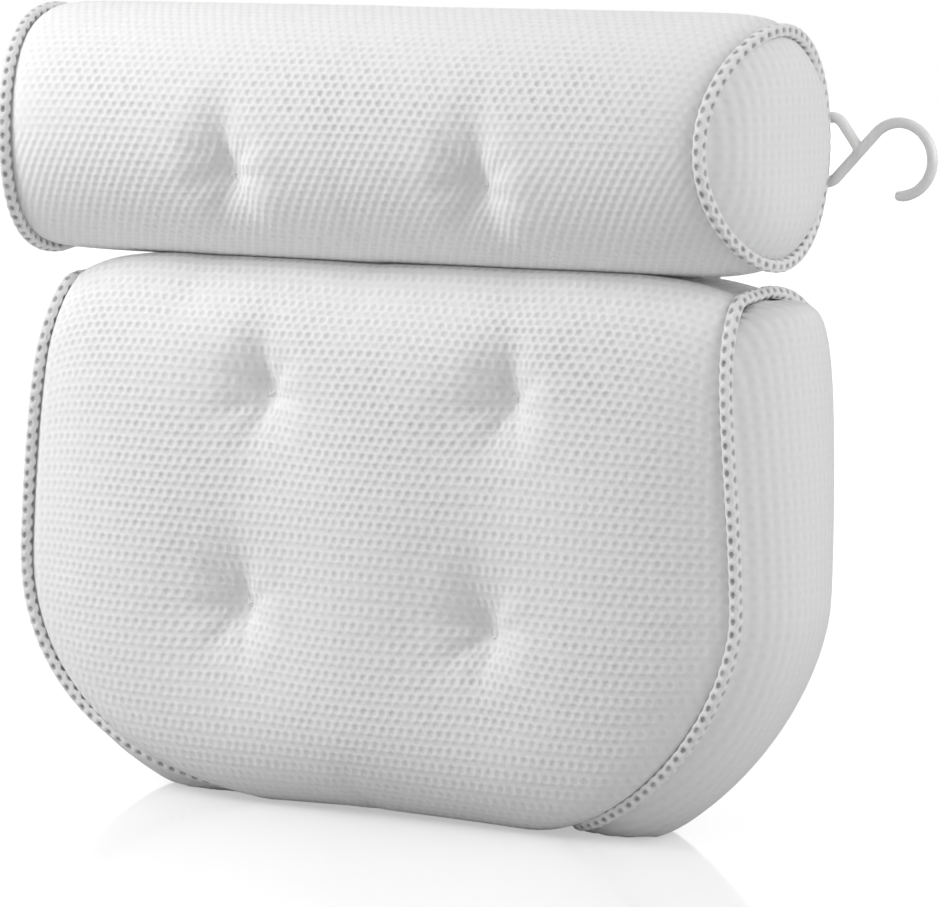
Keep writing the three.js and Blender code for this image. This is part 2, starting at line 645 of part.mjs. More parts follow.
// Webbing folded round the eye bar, with both ends sewn flat on the back of the roll.
function webbingLoop() {
  const double = 2 * WEBBING_THICKNESS;
  const sewnY = backAt(roll, WEBBING_TAIL_X, ROLL_Z) + CLEARANCE - HOOK_Y;
  const meet = Math.PI - Math.asin(double / WEBBING_OUTER_RADIUS - 1);
  const outline = new THREE.Shape();
  outline.moveTo(-WEBBING_TAIL, sewnY);
  outline.lineTo(0, -WEBBING_OUTER_RADIUS);
  outline.absarc(0, 0, WEBBING_OUTER_RADIUS, -RIGHT_ANGLE, meet);
  outline.lineTo(-WEBBING_TAIL, sewnY + double);
  outline.holes.push(new THREE.Path().absarc(0, 0, WEBBING_EYE_RADIUS, 0, FULL_TURN, true));
  const shape = { depth: WEBBING_WIDTH, bevelEnabled: false, curveSegments: ROUND_STEPS / 2 };
  return solidOf(new THREE.ExtrudeGeometry(outline, shape).translate(0, 0, -WEBBING_WIDTH / 2));
}

// Finishes
const finishes = {
  mesh: { color: 0xf1f1f1, roughness: 0.9, metalness: 0 },
  binding: { color: 0xededed, roughness: 0.85, metalness: 0 },
  fibre: { color: 0xf7f5f0, roughness: 1, metalness: 0 },
  thread: { color: 0xe9e9e9, roughness: 0.7, metalness: 0 },
  plastic: { color: 0xf5f5f3, roughness: 0.3, metalness: 0 },
  vinyl: { color: 0xdfe6e8, roughness: 0.15, metalness: 0 },
  webbing: { color: 0xeeeeee, roughness: 0.85, metalness: 0 },
};

function piece(name, geometry, finish) {
  const mesh = new THREE.Mesh(geometry, new THREE.MeshStandardMaterial(finishes[finish]));
  mesh.name = name;
  return mesh;
}

// The cover, filling, bindings and threads that both panels have.
function softPanel(prefix, form, tufts, cupPlaces) {
  const lines = panelLines(form);
  const group = new THREE.Group();
  const holes = form.tufts.map((tuft) => threadHole(form, tuft));
  const sockets = cupPlaces.map(({ x, y, z }) => movedTo(cupSocket(), x, y, z));
  const front = wrapSheet(form, lines, lines.along, BACK_SEAM_ANGLE, FULL_TURN - BACK_SEAM_ANGLE);
  const back = wrapSheet(form, lines, lines.along, -BACK_SEAM_ANGLE, BACK_SEAM_ANGLE);
  group.add(piece(`${prefix}_cover`, cut(front, holes), "mesh"));
  group.add(piece(`${prefix}_back_panel`, cut(back, [...holes, ...sockets]), "mesh"));
  group.add(piece(`${prefix}_filling`, cut(filling(form, lines), [...holes, ...sockets]), "fibre"));
  for (const side of ["left", "right"]) {
    const isLeft = side === "left";
    group.add(piece(`${prefix}_end_panel_${side}`, endPanel(form, lines, isLeft), "mesh"));
    group.add(piece(`${prefix}_binding_${side}`, binding(form, lines, isLeft), "binding"));
  }
  for (const [name, tuft] of Object.entries(tufts)) {
    group.add(piece(`${prefix}_tuft_thread_${name}`, tuftThread(form, tuft), "thread"));
  }
  return group;
}

// A suction cup and its eyelet at a place on a back.
function cupWithEyelet(name, place) {
  const group = new THREE.Group();
  group.add(piece(`${name}_cup`, suctionCup(), "vinyl"));
  group.add(piece(`${name}_eyelet`, eyelet(), "plastic"));
  group.position.copy(place);
  return group;
}

function backCushion() {
  const places = {};
  for (const [row, z] of Object.entries(CUSHION_CUP_ROWS)) {
    places[`cushion_${row}_left`] = cupPlace(cushion, -CUSHION_CUP_X, z);
    places[`cushion_${row}_right`] = cupPlace(cushion, CUSHION_CUP_X, z);
  }
  const group = softPanel("cushion", cushion, CUSHION_TUFTS, Object.values(places));
  Object.entries(places).forEach(([name, place]) => group.add(cupWithEyelet(name, place)));
  const strip = hingeStrip(cushion, HINGE_Z - STRIP_BELOW, -CLEARANCE);
  group.add(piece("hinge_strip_lower", strip, "webbing"));
  return group;
}

function neckRoll() {
  const places = {
    roll_left: cupPlace(roll, -ROLL_CUP_X, ROLL_Z),
    roll_right: cupPlace(roll, ROLL_CUP_X, ROLL_Z),
  };
  const group = softPanel("roll", roll, ROLL_TUFTS, Object.values(places));
  Object.entries(places).forEach(([name, place]) => group.add(cupWithEyelet(name, place)));
  const strip = hingeStrip(roll, HINGE_Z + STRIP_ABOVE, CLEARANCE);
  group.add(piece("hinge_strip_upper", strip, "webbing"));
  return group;
}

function hookAssembly() {
  const group = new THREE.Group();
  group.add(piece("hanging_hook", hangingHook(), "plastic"));
  group.add(piece("hook_webbing_loop", webbingLoop(), "webbing"));
  group.position.set(HOOK_X, HOOK_Y, ROLL_Z - HOOK_DROP);
  return group;
}

const bathPillow = new THREE.Group();
bathPillow.add(backCushion(), neckRoll(), hookAssembly());

export default bathPillow;
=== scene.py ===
"""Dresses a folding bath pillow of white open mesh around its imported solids.

A tufted neck roll is hinged on a tufted back cushion. Both are covers of open
mesh over a fibre filling, with bound side seams. Suction cups sit on the backs,
and a plastic hook hangs from a webbing loop behind the roll.
"""

import logging
import math
from dataclasses import dataclass, field
from enum import Enum

import bmesh
import bpy
import numpy as np
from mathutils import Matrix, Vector


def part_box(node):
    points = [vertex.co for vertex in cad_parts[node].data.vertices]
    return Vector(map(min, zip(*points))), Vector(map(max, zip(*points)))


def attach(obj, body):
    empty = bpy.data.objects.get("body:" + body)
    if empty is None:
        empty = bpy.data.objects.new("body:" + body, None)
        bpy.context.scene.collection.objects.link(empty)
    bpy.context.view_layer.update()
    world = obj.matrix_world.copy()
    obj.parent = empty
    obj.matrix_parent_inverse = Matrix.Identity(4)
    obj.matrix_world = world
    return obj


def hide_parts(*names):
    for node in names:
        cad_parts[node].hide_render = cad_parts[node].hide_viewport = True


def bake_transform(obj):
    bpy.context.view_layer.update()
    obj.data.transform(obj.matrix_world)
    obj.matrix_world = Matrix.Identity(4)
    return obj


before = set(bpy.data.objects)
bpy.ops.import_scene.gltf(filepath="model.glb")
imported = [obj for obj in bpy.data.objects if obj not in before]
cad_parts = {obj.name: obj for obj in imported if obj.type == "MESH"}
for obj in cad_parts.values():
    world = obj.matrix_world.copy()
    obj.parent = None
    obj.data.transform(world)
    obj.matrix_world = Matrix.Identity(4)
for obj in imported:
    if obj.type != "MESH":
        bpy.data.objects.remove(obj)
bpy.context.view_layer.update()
LOG = logging.getLogger("bath_pillow")

MM = 0.001
FULL_TURN = 2 * math.pi
SURFACE_UV = "cloth"
HOLE_DEPTH = "hole_depth"
BAKE_UV = "OFBake"
OPENNESS = "openness"
WALE = "wale"

Array = np.ndarray
Socket = bpy.types.NodeSocket
Mesh = bpy.types.Mesh
Thing = bpy.types.Object


class Side(Enum):
    """The two sides of the pillow as seen by someone who looks at its front."""

    LEFT = -1
    RIGHT = 1

    @property
    def word(self) -> str:
        """The side's name in lower case."""
        return self.name.lower()


# Nodes and materials


class Sketch:
    """Adds and links the nodes of one node tree."""

    def __init__(self, tree: bpy.types.NodeTree) -> None:
        """Keeps the tree that the nodes go in."""
        self.tree = tree

    def add(self, kind: str, inputs: dict | None = None, **settings: object) -> bpy.types.Node:
        """Adds one node.

        Args:
            kind: the node's type name.
            inputs: values or sockets for its inputs, by name or number.
            settings: properties set on the node itself.

        Returns:
            The new node.
        """
        node = self.tree.nodes.new(kind)
        for name, value in settings.items():
            setattr(node, name, value)
        self.feed(node, inputs or {})
        return node

    def get(
        self, kind: str, inputs: dict | None = None, output: int | str = 0, **settings: object
    ) -> Socket:
        """Adds one node and returns one of its outputs."""
        return self.add(kind, inputs, **settings).outputs[output]

    def feed(self, node: bpy.types.Node, inputs: dict) -> None:
        """Links sockets to a node's inputs, or sets the inputs to plain values.

        Args:
            node: the node.
            inputs: values or sockets, by name or number.
        """
        for key, value in inputs.items():
            if isinstance(value, Socket):
                self.tree.links.new(value, node.inputs[key])
            else:
                node.inputs[key].default_value = value

    def math(self, operation: str, first: object, second: object = 0.0) -> Socket:
        """Adds a Math node and returns its output."""
        return self.get("ShaderNodeMath", {0: first, 1: second}, operation=operation)

    def noise(self, scale: float, detail: float) -> Socket:
        """Adds noise that is fixed to the piece."""
        place = self.get("ShaderNodeTexCoord", output="Object")
        return self.get("ShaderNodeTexNoise", {"Vector": place, "Scale": scale, "Detail": detail}, "Fac")

    def bump(self, height: Socket, strength: float, distance: float, under: Socket | None = None) -> Socket:
        """Adds a bump, on top of another one if it is given, and returns its normal.

        Args:
            height: the height.
            strength: how much of the bump shows.
            distance: the height's scale in metres.
            under: the normal of the bump under it.

        Returns:
            The bent normal.
        """
        inputs = {"Height": height, "Strength": strength, "Distance": distance}
        if under is not None:
            inputs["Normal"] = under
        return self.get("ShaderNodeBump", inputs)


def shaded(name: str) -> tuple[bpy.types.Material, Sketch, bpy.types.Node]:
    """Makes a material and returns it with its tree and its shader.

    Args:
        name: the material's name.

    Returns:
        The material, its tree and its shader.
    """
    made = bpy.data.materials.new(name)
    made.use_nodes = True
    return made, Sketch(made.node_tree), made.node_tree.nodes["Principled BSDF"]


@dataclass(frozen=True)
class Finish:
    """A plain finish, and the base of the others."""

    name: str
    colour: tuple[float, float, float]
    roughness: float
    slot: str

    def material(self) -> bpy.types.Material:
        """Makes the material once and returns it.

        Returns:
            The material.
        """
        made = bpy.data.materials.get(self.name)
        if made is None:
            made, sketch, shader = shaded(self.name)
            made.diffuse_color = (*self.colour, 1.0)
            sketch.feed(shader, {"Base Color": (*self.colour, 1.0), "Roughness": self.roughness})
            self.dress(sketch, shader)
        return made

    def dress(self, sketch: Sketch, shader: bpy.types.Node) -> None:
        """Adds what makes this finish more than a plain colour."""


@dataclass(frozen=True)
class OpenMeshFinish(Finish):
    """White knitted mesh: white ridges, painted shade in its holes and rib troughs, ribs and a fine yarn
    grain.
    """

    # The holes' grey is painted shade: it stands for the shadow inside each pit.
    hole_colour: tuple[float, float, float] = (0.74, 0.74, 0.745)
    rib_height: float = 0.00014
    rib_shade: float = 0.18
    grain: float = 1400.0
    grain_height: float = 0.00012
    sheen: float = 0.25

    def dress(self, sketch: Sketch, shader: bpy.types.Node) -> None:
        """Paints shade into the holes by their depth and into the rib troughs, ribs the closed cloth and
        roughens the yarn.

        Args:
            sketch: the material's tree.
            shader: its main shader.
        """
        depth, wale, local = (
            sketch.get("ShaderNodeAttribute", output="Fac", attribute_name=name)
            for name in (HOLE_DEPTH, WALE, OPENNESS)
        )
        wave = sketch.math("SINE", sketch.math("MULTIPLY", wale, FULL_TURN))
        closed = sketch.math("MAXIMUM", sketch.math("SUBTRACT", 1.0, local), 0.0)
        rib = sketch.math("MULTIPLY", wave, closed)
        # The rib troughs get painted shade as well, darker where each rib dips.
        trough_painted_shade = sketch.math("MULTIPLY", sketch.math("MINIMUM", rib, 0.0), -self.rib_shade)
        colours = {6: (*self.colour, 1.0), 7: (*self.hole_colour, 1.0)}
        mix = {"Factor": sketch.math("ADD", depth, trough_painted_shade), **colours}
        colour_with_painted_shade = sketch.get("ShaderNodeMix", mix, 2, data_type="RGBA")
        yarn = sketch.bump(sketch.noise(self.grain, 2.0), 0.6, self.grain_height)
        normal = sketch.bump(rib, 1.0, self.rib_height, yarn)
        cloth = {"Sheen Weight": self.sheen, "Sheen Roughness": 0.5, "Specular IOR Level": 0.25}
        sketch.feed(shader, {"Base Color": colour_with_painted_shade, "Normal": normal, **cloth})


@dataclass(frozen=True)
class WovenFinish(Finish):
    """Webbing or strip: a close plain weave across the piece's own UV map."""

    ribs: float = 900.0
    rib_height: float = 0.0003

    def dress(self, sketch: Sketch, shader: bpy.types.Node) -> None:
        """Crosses two sets of ribs into a plain weave.

        Args:
            sketch: the material's tree.
            shader: its main shader.
        """
        inputs = {"Vector": sketch.get("ShaderNodeTexCoord", output="UV"), "Scale": self.ribs}
        waves = [sketch.get("ShaderNodeTexWave", inputs, "Fac", bands_direction=way) for way in "XY"]
        normal = sketch.bump(sketch.math("MULTIPLY", *waves), 0.8, self.rib_height)
        sketch.feed(shader, {"Normal": normal, "Sheen Weight": 0.2})


@dataclass(frozen=True)
class PlasticFinish(Finish):
    """Glossy moulded plastic with a very faint flow in the surface."""

    ripple: float = 90.0
    ripple_height: float = 0.0003

    def dress(self, sketch: Sketch, shader: bpy.types.Node) -> None:
        """Breaks the highlight a little, as a moulding does.

        Args:
            sketch: the material's tree.
            shader: its main shader.
        """
        normal = sketch.bump(sketch.noise(self.ripple, 1.0), 0.15, self.ripple_height)
        depth = {"Subsurface Weight": 0.15, "Subsurface Radius": (0.004,) * 3, "Subsurface Scale": 0.5}
        sketch.feed(shader, {"Normal": normal, "Coat Weight": 0.6, **depth})


@dataclass(frozen=True)
class VinylFinish(Finish):
    """Clear soft vinyl, slightly clouded."""

    def dress(self, sketch: Sketch, shader: bpy.types.Node) -> None:
        """Lets most of the light through."""
        sketch.feed(shader, {"Transmission Weight": 0.75, "IOR": 1.45})


MESH_WHITE = (0.92, 0.92, 0.92)
OPEN_MESH = OpenMeshFinish("white_open_mesh", MESH_WHITE, 0.85, "mesh")
# The binding's holes get a much darker painted shade, standing for the deeper shadow in its pits.
BOUND_MESH = OpenMeshFinish("folded_mesh_binding", MESH_WHITE, 0.85, "binding", (0.42, 0.42, 0.43))
FIBRE = Finish("fibre_filling", (0.92, 0.9, 0.87), 1.0, "fibre")
THREAD = Finish("sewing_thread", (0.86, 0.86, 0.86), 0.6, "thread")
HOOK_PLASTIC = PlasticFinish("white_hook_plastic", (0.95, 0.95, 0.945), 0.28, "plastic")
CLEAR_VINYL = VinylFinish("clear_cup_vinyl", (0.86, 0.92, 0.94), 0.12, "vinyl")
EYELET_PLASTIC = PlasticFinish("eyelet_plastic", (0.85, 0.85, 0.85), 0.35, "plastic")
WEBBING = WovenFinish("woven_webbing", (0.85, 0.85, 0.85), 0.8, "webbing")


# Meshes and pieces


def make_mesh(name: str, points: Array, faces: list) -> Mesh:
    """Makes a smooth mesh in metres from points in millimetres and the faces' point numbers.

    Args:
        name: its name.
        points: its points in millimetres.
        faces: point numbers of each face.

    Returns:
        The mesh, in metres.
    """
    mesh = bpy.data.meshes.new(name)
    mesh.from_pydata((np.asarray(points) * MM).tolist(), [], faces)
    mesh.update()
    mesh.shade_smooth()
    return mesh


def make_object(name: str, mesh: Mesh, finish: Finish | None = None) -> Thing:
    """Puts a mesh in the scene, with a finish if one is given.

    Args:
        name: the object's name.
        mesh: its mesh.
        finish: its finish, if it has one.

    Returns:
        The new object.
    """
    thing = bpy.data.objects.new(name, mesh)
    bpy.context.scene.collection.objects.link(thing)
    if finish is not None:
        mesh.materials.clear()
        mesh.materials.append(finish.material())
    return thing


def settle(piece: Thing, finish: Finish, body: str, *nodes: str) -> None:
    """Puts a finished piece on its body and hides the solids that it stands for.

    Args:
        piece: the piece.
        finish: not used.
        body: the body that it rides on.
        nodes: the solids that it stands for.
    """
    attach(piece, body)
    if nodes:
        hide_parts(*nodes)
    LOG.info("%s: %d faces on %s", piece.name, len(piece.data.polygons), body)


def turn_outwards(mesh: Mesh, weld: bool = True, inset: float = 0.0) -> None:
    """Turns a closed mesh's faces outwards.

    Args:
        mesh: the mesh.
        weld: whether points in the same place are merged first.
        inset: how far the points then move inwards, in millimetres.
    """
    shape = bmesh.new()
    shape.from_mesh(mesh)
    if weld:
        bmesh.ops.remove_doubles(shape, verts=shape.verts, dist=1e-6)
    bmesh.ops.recalc_face_normals(shape, faces=shape.faces)
    if inset:
        shape.normal_update()
        for vertex in shape.verts:
            vertex.co -= vertex.normal * inset * MM
    shape.to_mesh(mesh)
    shape.free()


def merged(parts: list[tuple[Array, list]]) -> tuple[Array, list]:
    """Joins several sets of points and faces into one.

    Args:
        parts: the sets.

    Returns:
        All the points, and all the faces with their new numbers.
    """
    points, faces, start = [], [], 0
    for corners, polygons in parts:
        points.append(corners)
        faces += [[start + corner for corner in polygon] for polygon in polygons]
        start += len(corners)
    return np.concatenate(points), faces


def make_piece(name: str, parts: list, finish: Finish, body: str, node: str, weld: bool = True) -> None:
    """Makes one piece from sets of points and faces, and settles it.

    Args:
        name: the piece's name.
        parts: its sets of points and faces.
        finish: its finish.
        body: the body that it rides on.
        node: the solid that it stands for.
        weld: whether its points are merged and its faces turned outwards.
    """
    mesh = make_mesh(name, *merged(parts))
    if weld:
        turn_outwards(mesh)
    settle(make_object(name, mesh, finish), finish, body, node)


def realised(name: str, source: Thing) -> Thing:
    """Turns a source and its modifiers into a plain mesh object, and removes the source.

    Args:
        name: the new object's name.
        source: the object with its modifiers.

    Returns:
        The plain object.
    """
    graph = bpy.context.evaluated_depsgraph_get()
    mesh = bpy.data.meshes.new_from_object(source.evaluated_get(graph))
    mesh.name = name
    source.modifiers.clear()
    bpy.data.objects.remove(source)
    return make_object(name, mesh)


def read_points(mesh: Mesh) -> Array:
    """Returns a mesh's vertices in millimetres.

    Args:
        mesh: the mesh.

    Returns:
        A row of three for each vertex.
    """
    flat = np.empty(len(mesh.vertices) * 3)
    mesh.vertices.foreach_get("co", flat)
    return flat.reshape(-1, 3) / MM


def mend(mesh: Mesh) -> None:
    """Moves points that the surface could not place, and left at the origin, between their neighbours.

    Args:
        mesh: the mesh, which is changed.
    """
    points = read_points(mesh)
    lost = np.linalg.norm(points, axis=1) < 0.05
    ends = np.empty(len(mesh.edges) * 2, dtype=np.int32)
    mesh.edges.foreach_get("vertices", ends)
    ends = ends.reshape(-1, 2)
    for place in np.flatnonzero(lost):
        near = np.concatenate([ends[ends[:, 0] == place, 1], ends[ends[:, 1] == place, 0]])
        points[place] = points[near[~lost[near]]].mean(axis=0)
        lost[place] = False
    mesh.vertices.foreach_set("co", (points * MM).ravel())
    mesh.update()


def solid_box(node: str) -> tuple[Array, Array]:
    """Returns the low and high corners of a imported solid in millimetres."""
    low, high = (np.array(corner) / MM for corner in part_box(node))
    return low, high


# Grids and paths


def grid_faces(rows: int, columns: int) -> list[list[int]]:
    """Returns the quads of a grid whose points are numbered row by row.

    Args:
        rows: how many lines of points.
        columns: points in each line.

    Returns:
        Four point numbers for each quad.
    """
    numbers = np.arange(rows * columns).reshape(rows, columns)
    corners = [numbers[:-1, :-1], numbers[1:, :-1], numbers[1:, 1:], numbers[:-1, 1:]]
    return np.stack([c.ravel() for c in corners], axis=1).tolist()


def unit(vectors: Array) -> Array:
    """Returns the vectors scaled to length one."""
    length = np.linalg.norm(vectors, axis=-1, keepdims=True)
    return vectors / np.maximum(length, 1e-9)


def run_along(points: Array) -> Array:
    """Returns a path's length up to each of its points."""
    return np.concatenate([[0], np.cumsum(np.linalg.norm(np.diff(points, axis=0), axis=1))])


def charted(u: Array, v: Array) -> Array:
    """Returns a grid of cloth coordinates from its two parts."""
    return np.stack(np.broadcast_arrays(u, v), axis=-1)


def grid_normals(points: Array) -> Array:
    """Returns the normals of a grid, from its rows across to its columns."""
    return unit(np.cross(np.gradient(points, axis=0), np.gradient(points, axis=1)))


def evened(grid: Array, passes: int) -> Array:
    """Returns a grid of values evened out with their neighbours, its borders kept.

    Args:
        grid: the values.
        passes: how often they are evened out.

    Returns:
        The new values.
    """
    grid = grid.copy()
    for _ in range(passes):
        grid[1:-1] = (grid[:-2] + 2 * grid[1:-1] + grid[2:]) / 4
        grid[:, 1:-1] = (grid[:, :-2] + 2 * grid[:, 1:-1] + grid[:, 2:]) / 4
    return grid


def refine(points: Array) -> Array:
    """Doubles the lines of a grid both ways with a four-point cubic rule.

    Args:
        points: the grid.

    Returns:
        The finer grid.
    """
    for axis in (0, 1):
        lines = np.moveaxis(points, axis, 0)
        before = np.concatenate([2 * lines[:1] - lines[1:2], lines[:-2]])
        after = np.concatenate([lines[2:], 2 * lines[-1:] - lines[-2:-1]])
        finer = np.empty((2 * len(lines) - 1, *lines.shape[1:]))
        finer[::2] = lines
        finer[1::2] = (9 * (lines[:-1] + lines[1:]) - before - after) / 16
        points = np.moveaxis(finer, 0, axis)
    return points


def around(turns: Array, first: Array, second: Array) -> Array:
    """Returns rings of directions that turn from each first direction towards its second."""
    return np.cos(turns)[:, None] * first[:, None] + np.sin(turns)[:, None] * second[:, None]


def tube_faces(rings: int, sides: int, closed: bool) -> list:
    """Returns the faces between rings of points, with open ends closed by a face each.

    Args:
        rings: how many rings.
        sides: points in each ring.
        closed: whether the last ring joins the first.

    Returns:
        Point numbers of each face.
    """
    numbers = np.arange(rings * sides).reshape(rings, sides).tolist()
    faces = []
    for i in range(rings if closed else rings - 1):
        low, high = numbers[i], numbers[(i + 1) % rings]
        for j in range(sides):
            k = (j + 1) % sides
            faces.append((low[j], low[k], high[k], high[j]))
    return faces if closed else [*faces, numbers[0][::-1], numbers[-1]]


def sweep(path: Array, radii: Array, sides: int, closed: bool) -> tuple[Array, list]:
    """Sweeps a round section along a path.

    Args:
        path: points along the middle, in millimetres.
        radii: the section's radius at each point.
        sides: points round the section.
        closed: whether the path runs back into its first point.

    Returns:
        The points and the faces.
    """
    if closed:
        heading = unit(np.roll(path, -1, axis=0) - np.roll(path, 1, axis=0))
    else:
        heading = unit(np.gradient(path, axis=0))
    start = np.cross(heading[0], (0.0, 1.0, 0.0))
    if np.linalg.norm(start) < 0.1:
        start = np.cross(heading[0], (1.0, 0.0, 0.0))
    normals = [unit(start)]
    for ahead in heading[1:]:
        normals.append(unit(normals[-1] - ahead * np.dot(normals[-1], ahead)))
    normals = np.array(normals)
    ring = around(np.arange(sides) * FULL_TURN / sides, normals, np.cross(heading, normals))
    points = path[:, None] + ring * radii[:, None, None]
    return points.reshape(-1, 3), tube_faces(len(path), sides, closed)


def lathe(profile: Array, centre: Array, steps: int) -> tuple[Array, list]:
    """Turns a profile of (radius, y) about an axis along Y.

    Args:
        profile: radius and y of each point, from the front end to the back end.
        centre: a point on the axis.
        steps: points round the axis.

    Returns:
        The points and the faces. A radius of zero closes to a pole.
    """
    turns = np.arange(steps) * FULL_TURN / steps
    points, rings = [], []
    for radius, y in profile:
        if radius < 1e-6:
            rings.append([len(points)] * steps)
            points.append((0.0, y, 0.0))
        else:
            rings.append(list(range(len(points), len(points) + steps)))
            points += [(radius * math.cos(t), y, radius * math.sin(t)) for t in turns]
    faces = []
    for low, high in zip(rings[:-1], rings[1:]):
        for j in range(steps):
            k = (j + 1) % steps
            face = list(dict.fromkeys((low[j], high[j], high[k], low[k])))
            if len(face) > 2:
                faces.append(face)
    return np.array(points) + centre, faces


# Cloth surfaces


@dataclass(frozen=True)
class Region:
    """A stretch of cloth coordinates in millimetres: its corners."""

    low: tuple[float, float]
    high: tuple[float, float]


def chart_region(chart: Array) -> Region:
    """Returns the region that a cloth chart covers."""
    flat = chart.reshape(-1, 2)
    return Region(tuple(flat.min(0)), tuple(flat.max(0)))


def cloth_surface(
    name: str, points: Array, chart: Array, openness: Array | float = 1.0, wale: Array | float = 0.0
) -> Thing:
    """Makes a surface whose UV map holds its cloth coordinates.

    Args:
        name: the surface's name.
        points: a grid of points in millimetres.
        chart: the same grid's cloth coordinates in millimetres.
        openness: how open the mesh is at each point.
        wale: how many knitted ribs lie before each point.

    Returns:
        The surface as a scene object.
    """
    shape = points.shape[:2]
    mesh = make_mesh(name, points.reshape(-1, 3), grid_faces(*shape))
    layer = mesh.uv_layers.new(name=SURFACE_UV)
    corners = np.empty(len(mesh.loops), dtype=np.int32)
    mesh.loops.foreach_get("vertex_index", corners)
    flat = chart.reshape(-1, 2)[corners] * MM
    layer.uv.foreach_set("vector", flat.ravel().astype(np.float32))
    for word, given in ((OPENNESS, openness), (WALE, wale)):
        local = mesh.attributes.new(word, "FLOAT", "POINT")
        local.data.foreach_set("value", np.broadcast_to(given, shape).ravel().astype(np.float32))
    return make_object(name, mesh)


def hemmed(points: Array, chart: Array, axes: tuple[int, ...]) -> tuple[Array, Array]:
    """Adds a turned-in seam allowance along the edges of a cloth grid.

    Args:
        points: the grid in millimetres.
        chart: its cloth coordinates.
        axes: the grid axes at whose two ends an allowance is added.

    Returns:
        The wider grid and its cloth coordinates.
    """
    turn_in, reach = 3.0, 6.0
    for axis in axes:
        grids = (grid_normals(points), points, chart)
        normals, lines, flat = (np.moveaxis(grid, axis, 0) for grid in grids)
        facing = 1 if np.mean(np.sum(normals * (lines - lines.reshape(-1, 3).mean(0)), -1)) > 0 else -1
        ends = []
        for edge, inner in ((0, 1), (-1, -2)):
            border = np.gradient(flat[edge], axis=0)
            outward = unit(np.stack([border[:, 1], -border[:, 0]], axis=-1))
            away = np.sign(np.sum(outward * (flat[edge] - flat[inner]), -1, keepdims=True))
            outward *= np.where(away == 0, 1, away)
            sunk = lines[edge] - facing * normals[inner] * turn_in
            ends.append((sunk[None], (flat[edge] + outward * reach)[None]))
        (first, first_flat), (last, last_flat) = ends
        points = np.moveaxis(np.concatenate([first, lines, last]), 0, axis)
        chart = np.moveaxis(np.concatenate([first_flat, flat, last_flat]), 0, axis)
    return points, chart


def ribbon(name: str, points: Array, chart: Array, thickness: float) -> Thing:
    """Makes a closed woven ribbon from the grid of its middle surface and its thickness in millimetres.

    Args:
        name: the piece's name.
        points: the middle surface in millimetres.
        chart: its cloth coordinates in millimetres.
        thickness: the ribbon's thickness in millimetres.

    Returns:
        The ribbon as a plain mesh.
    """
    surface = cloth_surface(name + "_middle", points, chart)
    wall = surface.modifiers.new("thickness", "SOLIDIFY")
    wall.thickness = thickness * MM
    wall.offset = 0.0
    wall.use_even_offset = False
    piece = realised(name, surface)
    turn_outwards(piece.data)
    piece.data.materials.clear()
    piece.data.materials.append(WEBBING.material())
    return piece


# Open mesh and stitches


class GeometryTree(Sketch):
    """A Geometry Nodes tree with named inputs, drawn once and used for several pieces."""

    word = ""
    counts: tuple[str, ...] = ()
    numbers: tuple[str, ...] = ()

    def __init__(self) -> None:
        """Names the inputs and draws the tree."""
        super().__init__(bpy.data.node_groups.new(self.word, "GeometryNodeTree"))
        kinds = {"Source": "Geometry", "Material": "Material"}
        kinds |= {**dict.fromkeys(self.counts, "Int"), **dict.fromkeys(self.numbers, "Float")}
        self.sockets = {}
        for name, kind in kinds.items():
            made = self.tree.interface.new_socket(name, in_out="INPUT", socket_type="NodeSocket" + kind)
            self.sockets[name] = made.identifier
        self.tree.interface.new_socket("Piece", in_out="OUTPUT", socket_type="NodeSocketGeometry")
        self.given = self.add("NodeGroupInput").outputs
        plain = self.get("GeometryNodeRealizeInstances", {"Geometry": self.draw()})
        dress = {"Geometry": plain, "Material": self.given["Material"]}
        self.add("NodeGroupOutput", {0: self.get("GeometryNodeSetMaterial", dress)})

    def draw(self) -> Socket:
        """Draws what comes before the material, and returns its geometry."""
        raise NotImplementedError

    def apply(self, name: str, source: Thing, values: dict) -> Thing:
        """Turns a source object into a piece, with a value for each named input.

        Args:
            name: the piece's name.
            source: the object, which is used up.
            values: the values by name.

        Returns:
            The piece as a plain mesh.
        """
        modifier = source.modifiers.new(self.word, "NODES")
        modifier.node_group = self.tree
        for socket, value in values.items():
            modifier[self.sockets[socket]] = value
        return realised(name, source)


@dataclass(frozen=True)
class NetSizes:
    """Sizes of the open mesh in millimetres; the hole and its floor are shares."""

    pitch: float = 4.9
    row: float = 3.95
    ridge: float = 0.35
    shoulder: float = 0.25
    pit: float = 0.6
    hole: float = 0.7
    floor: float = 0.66


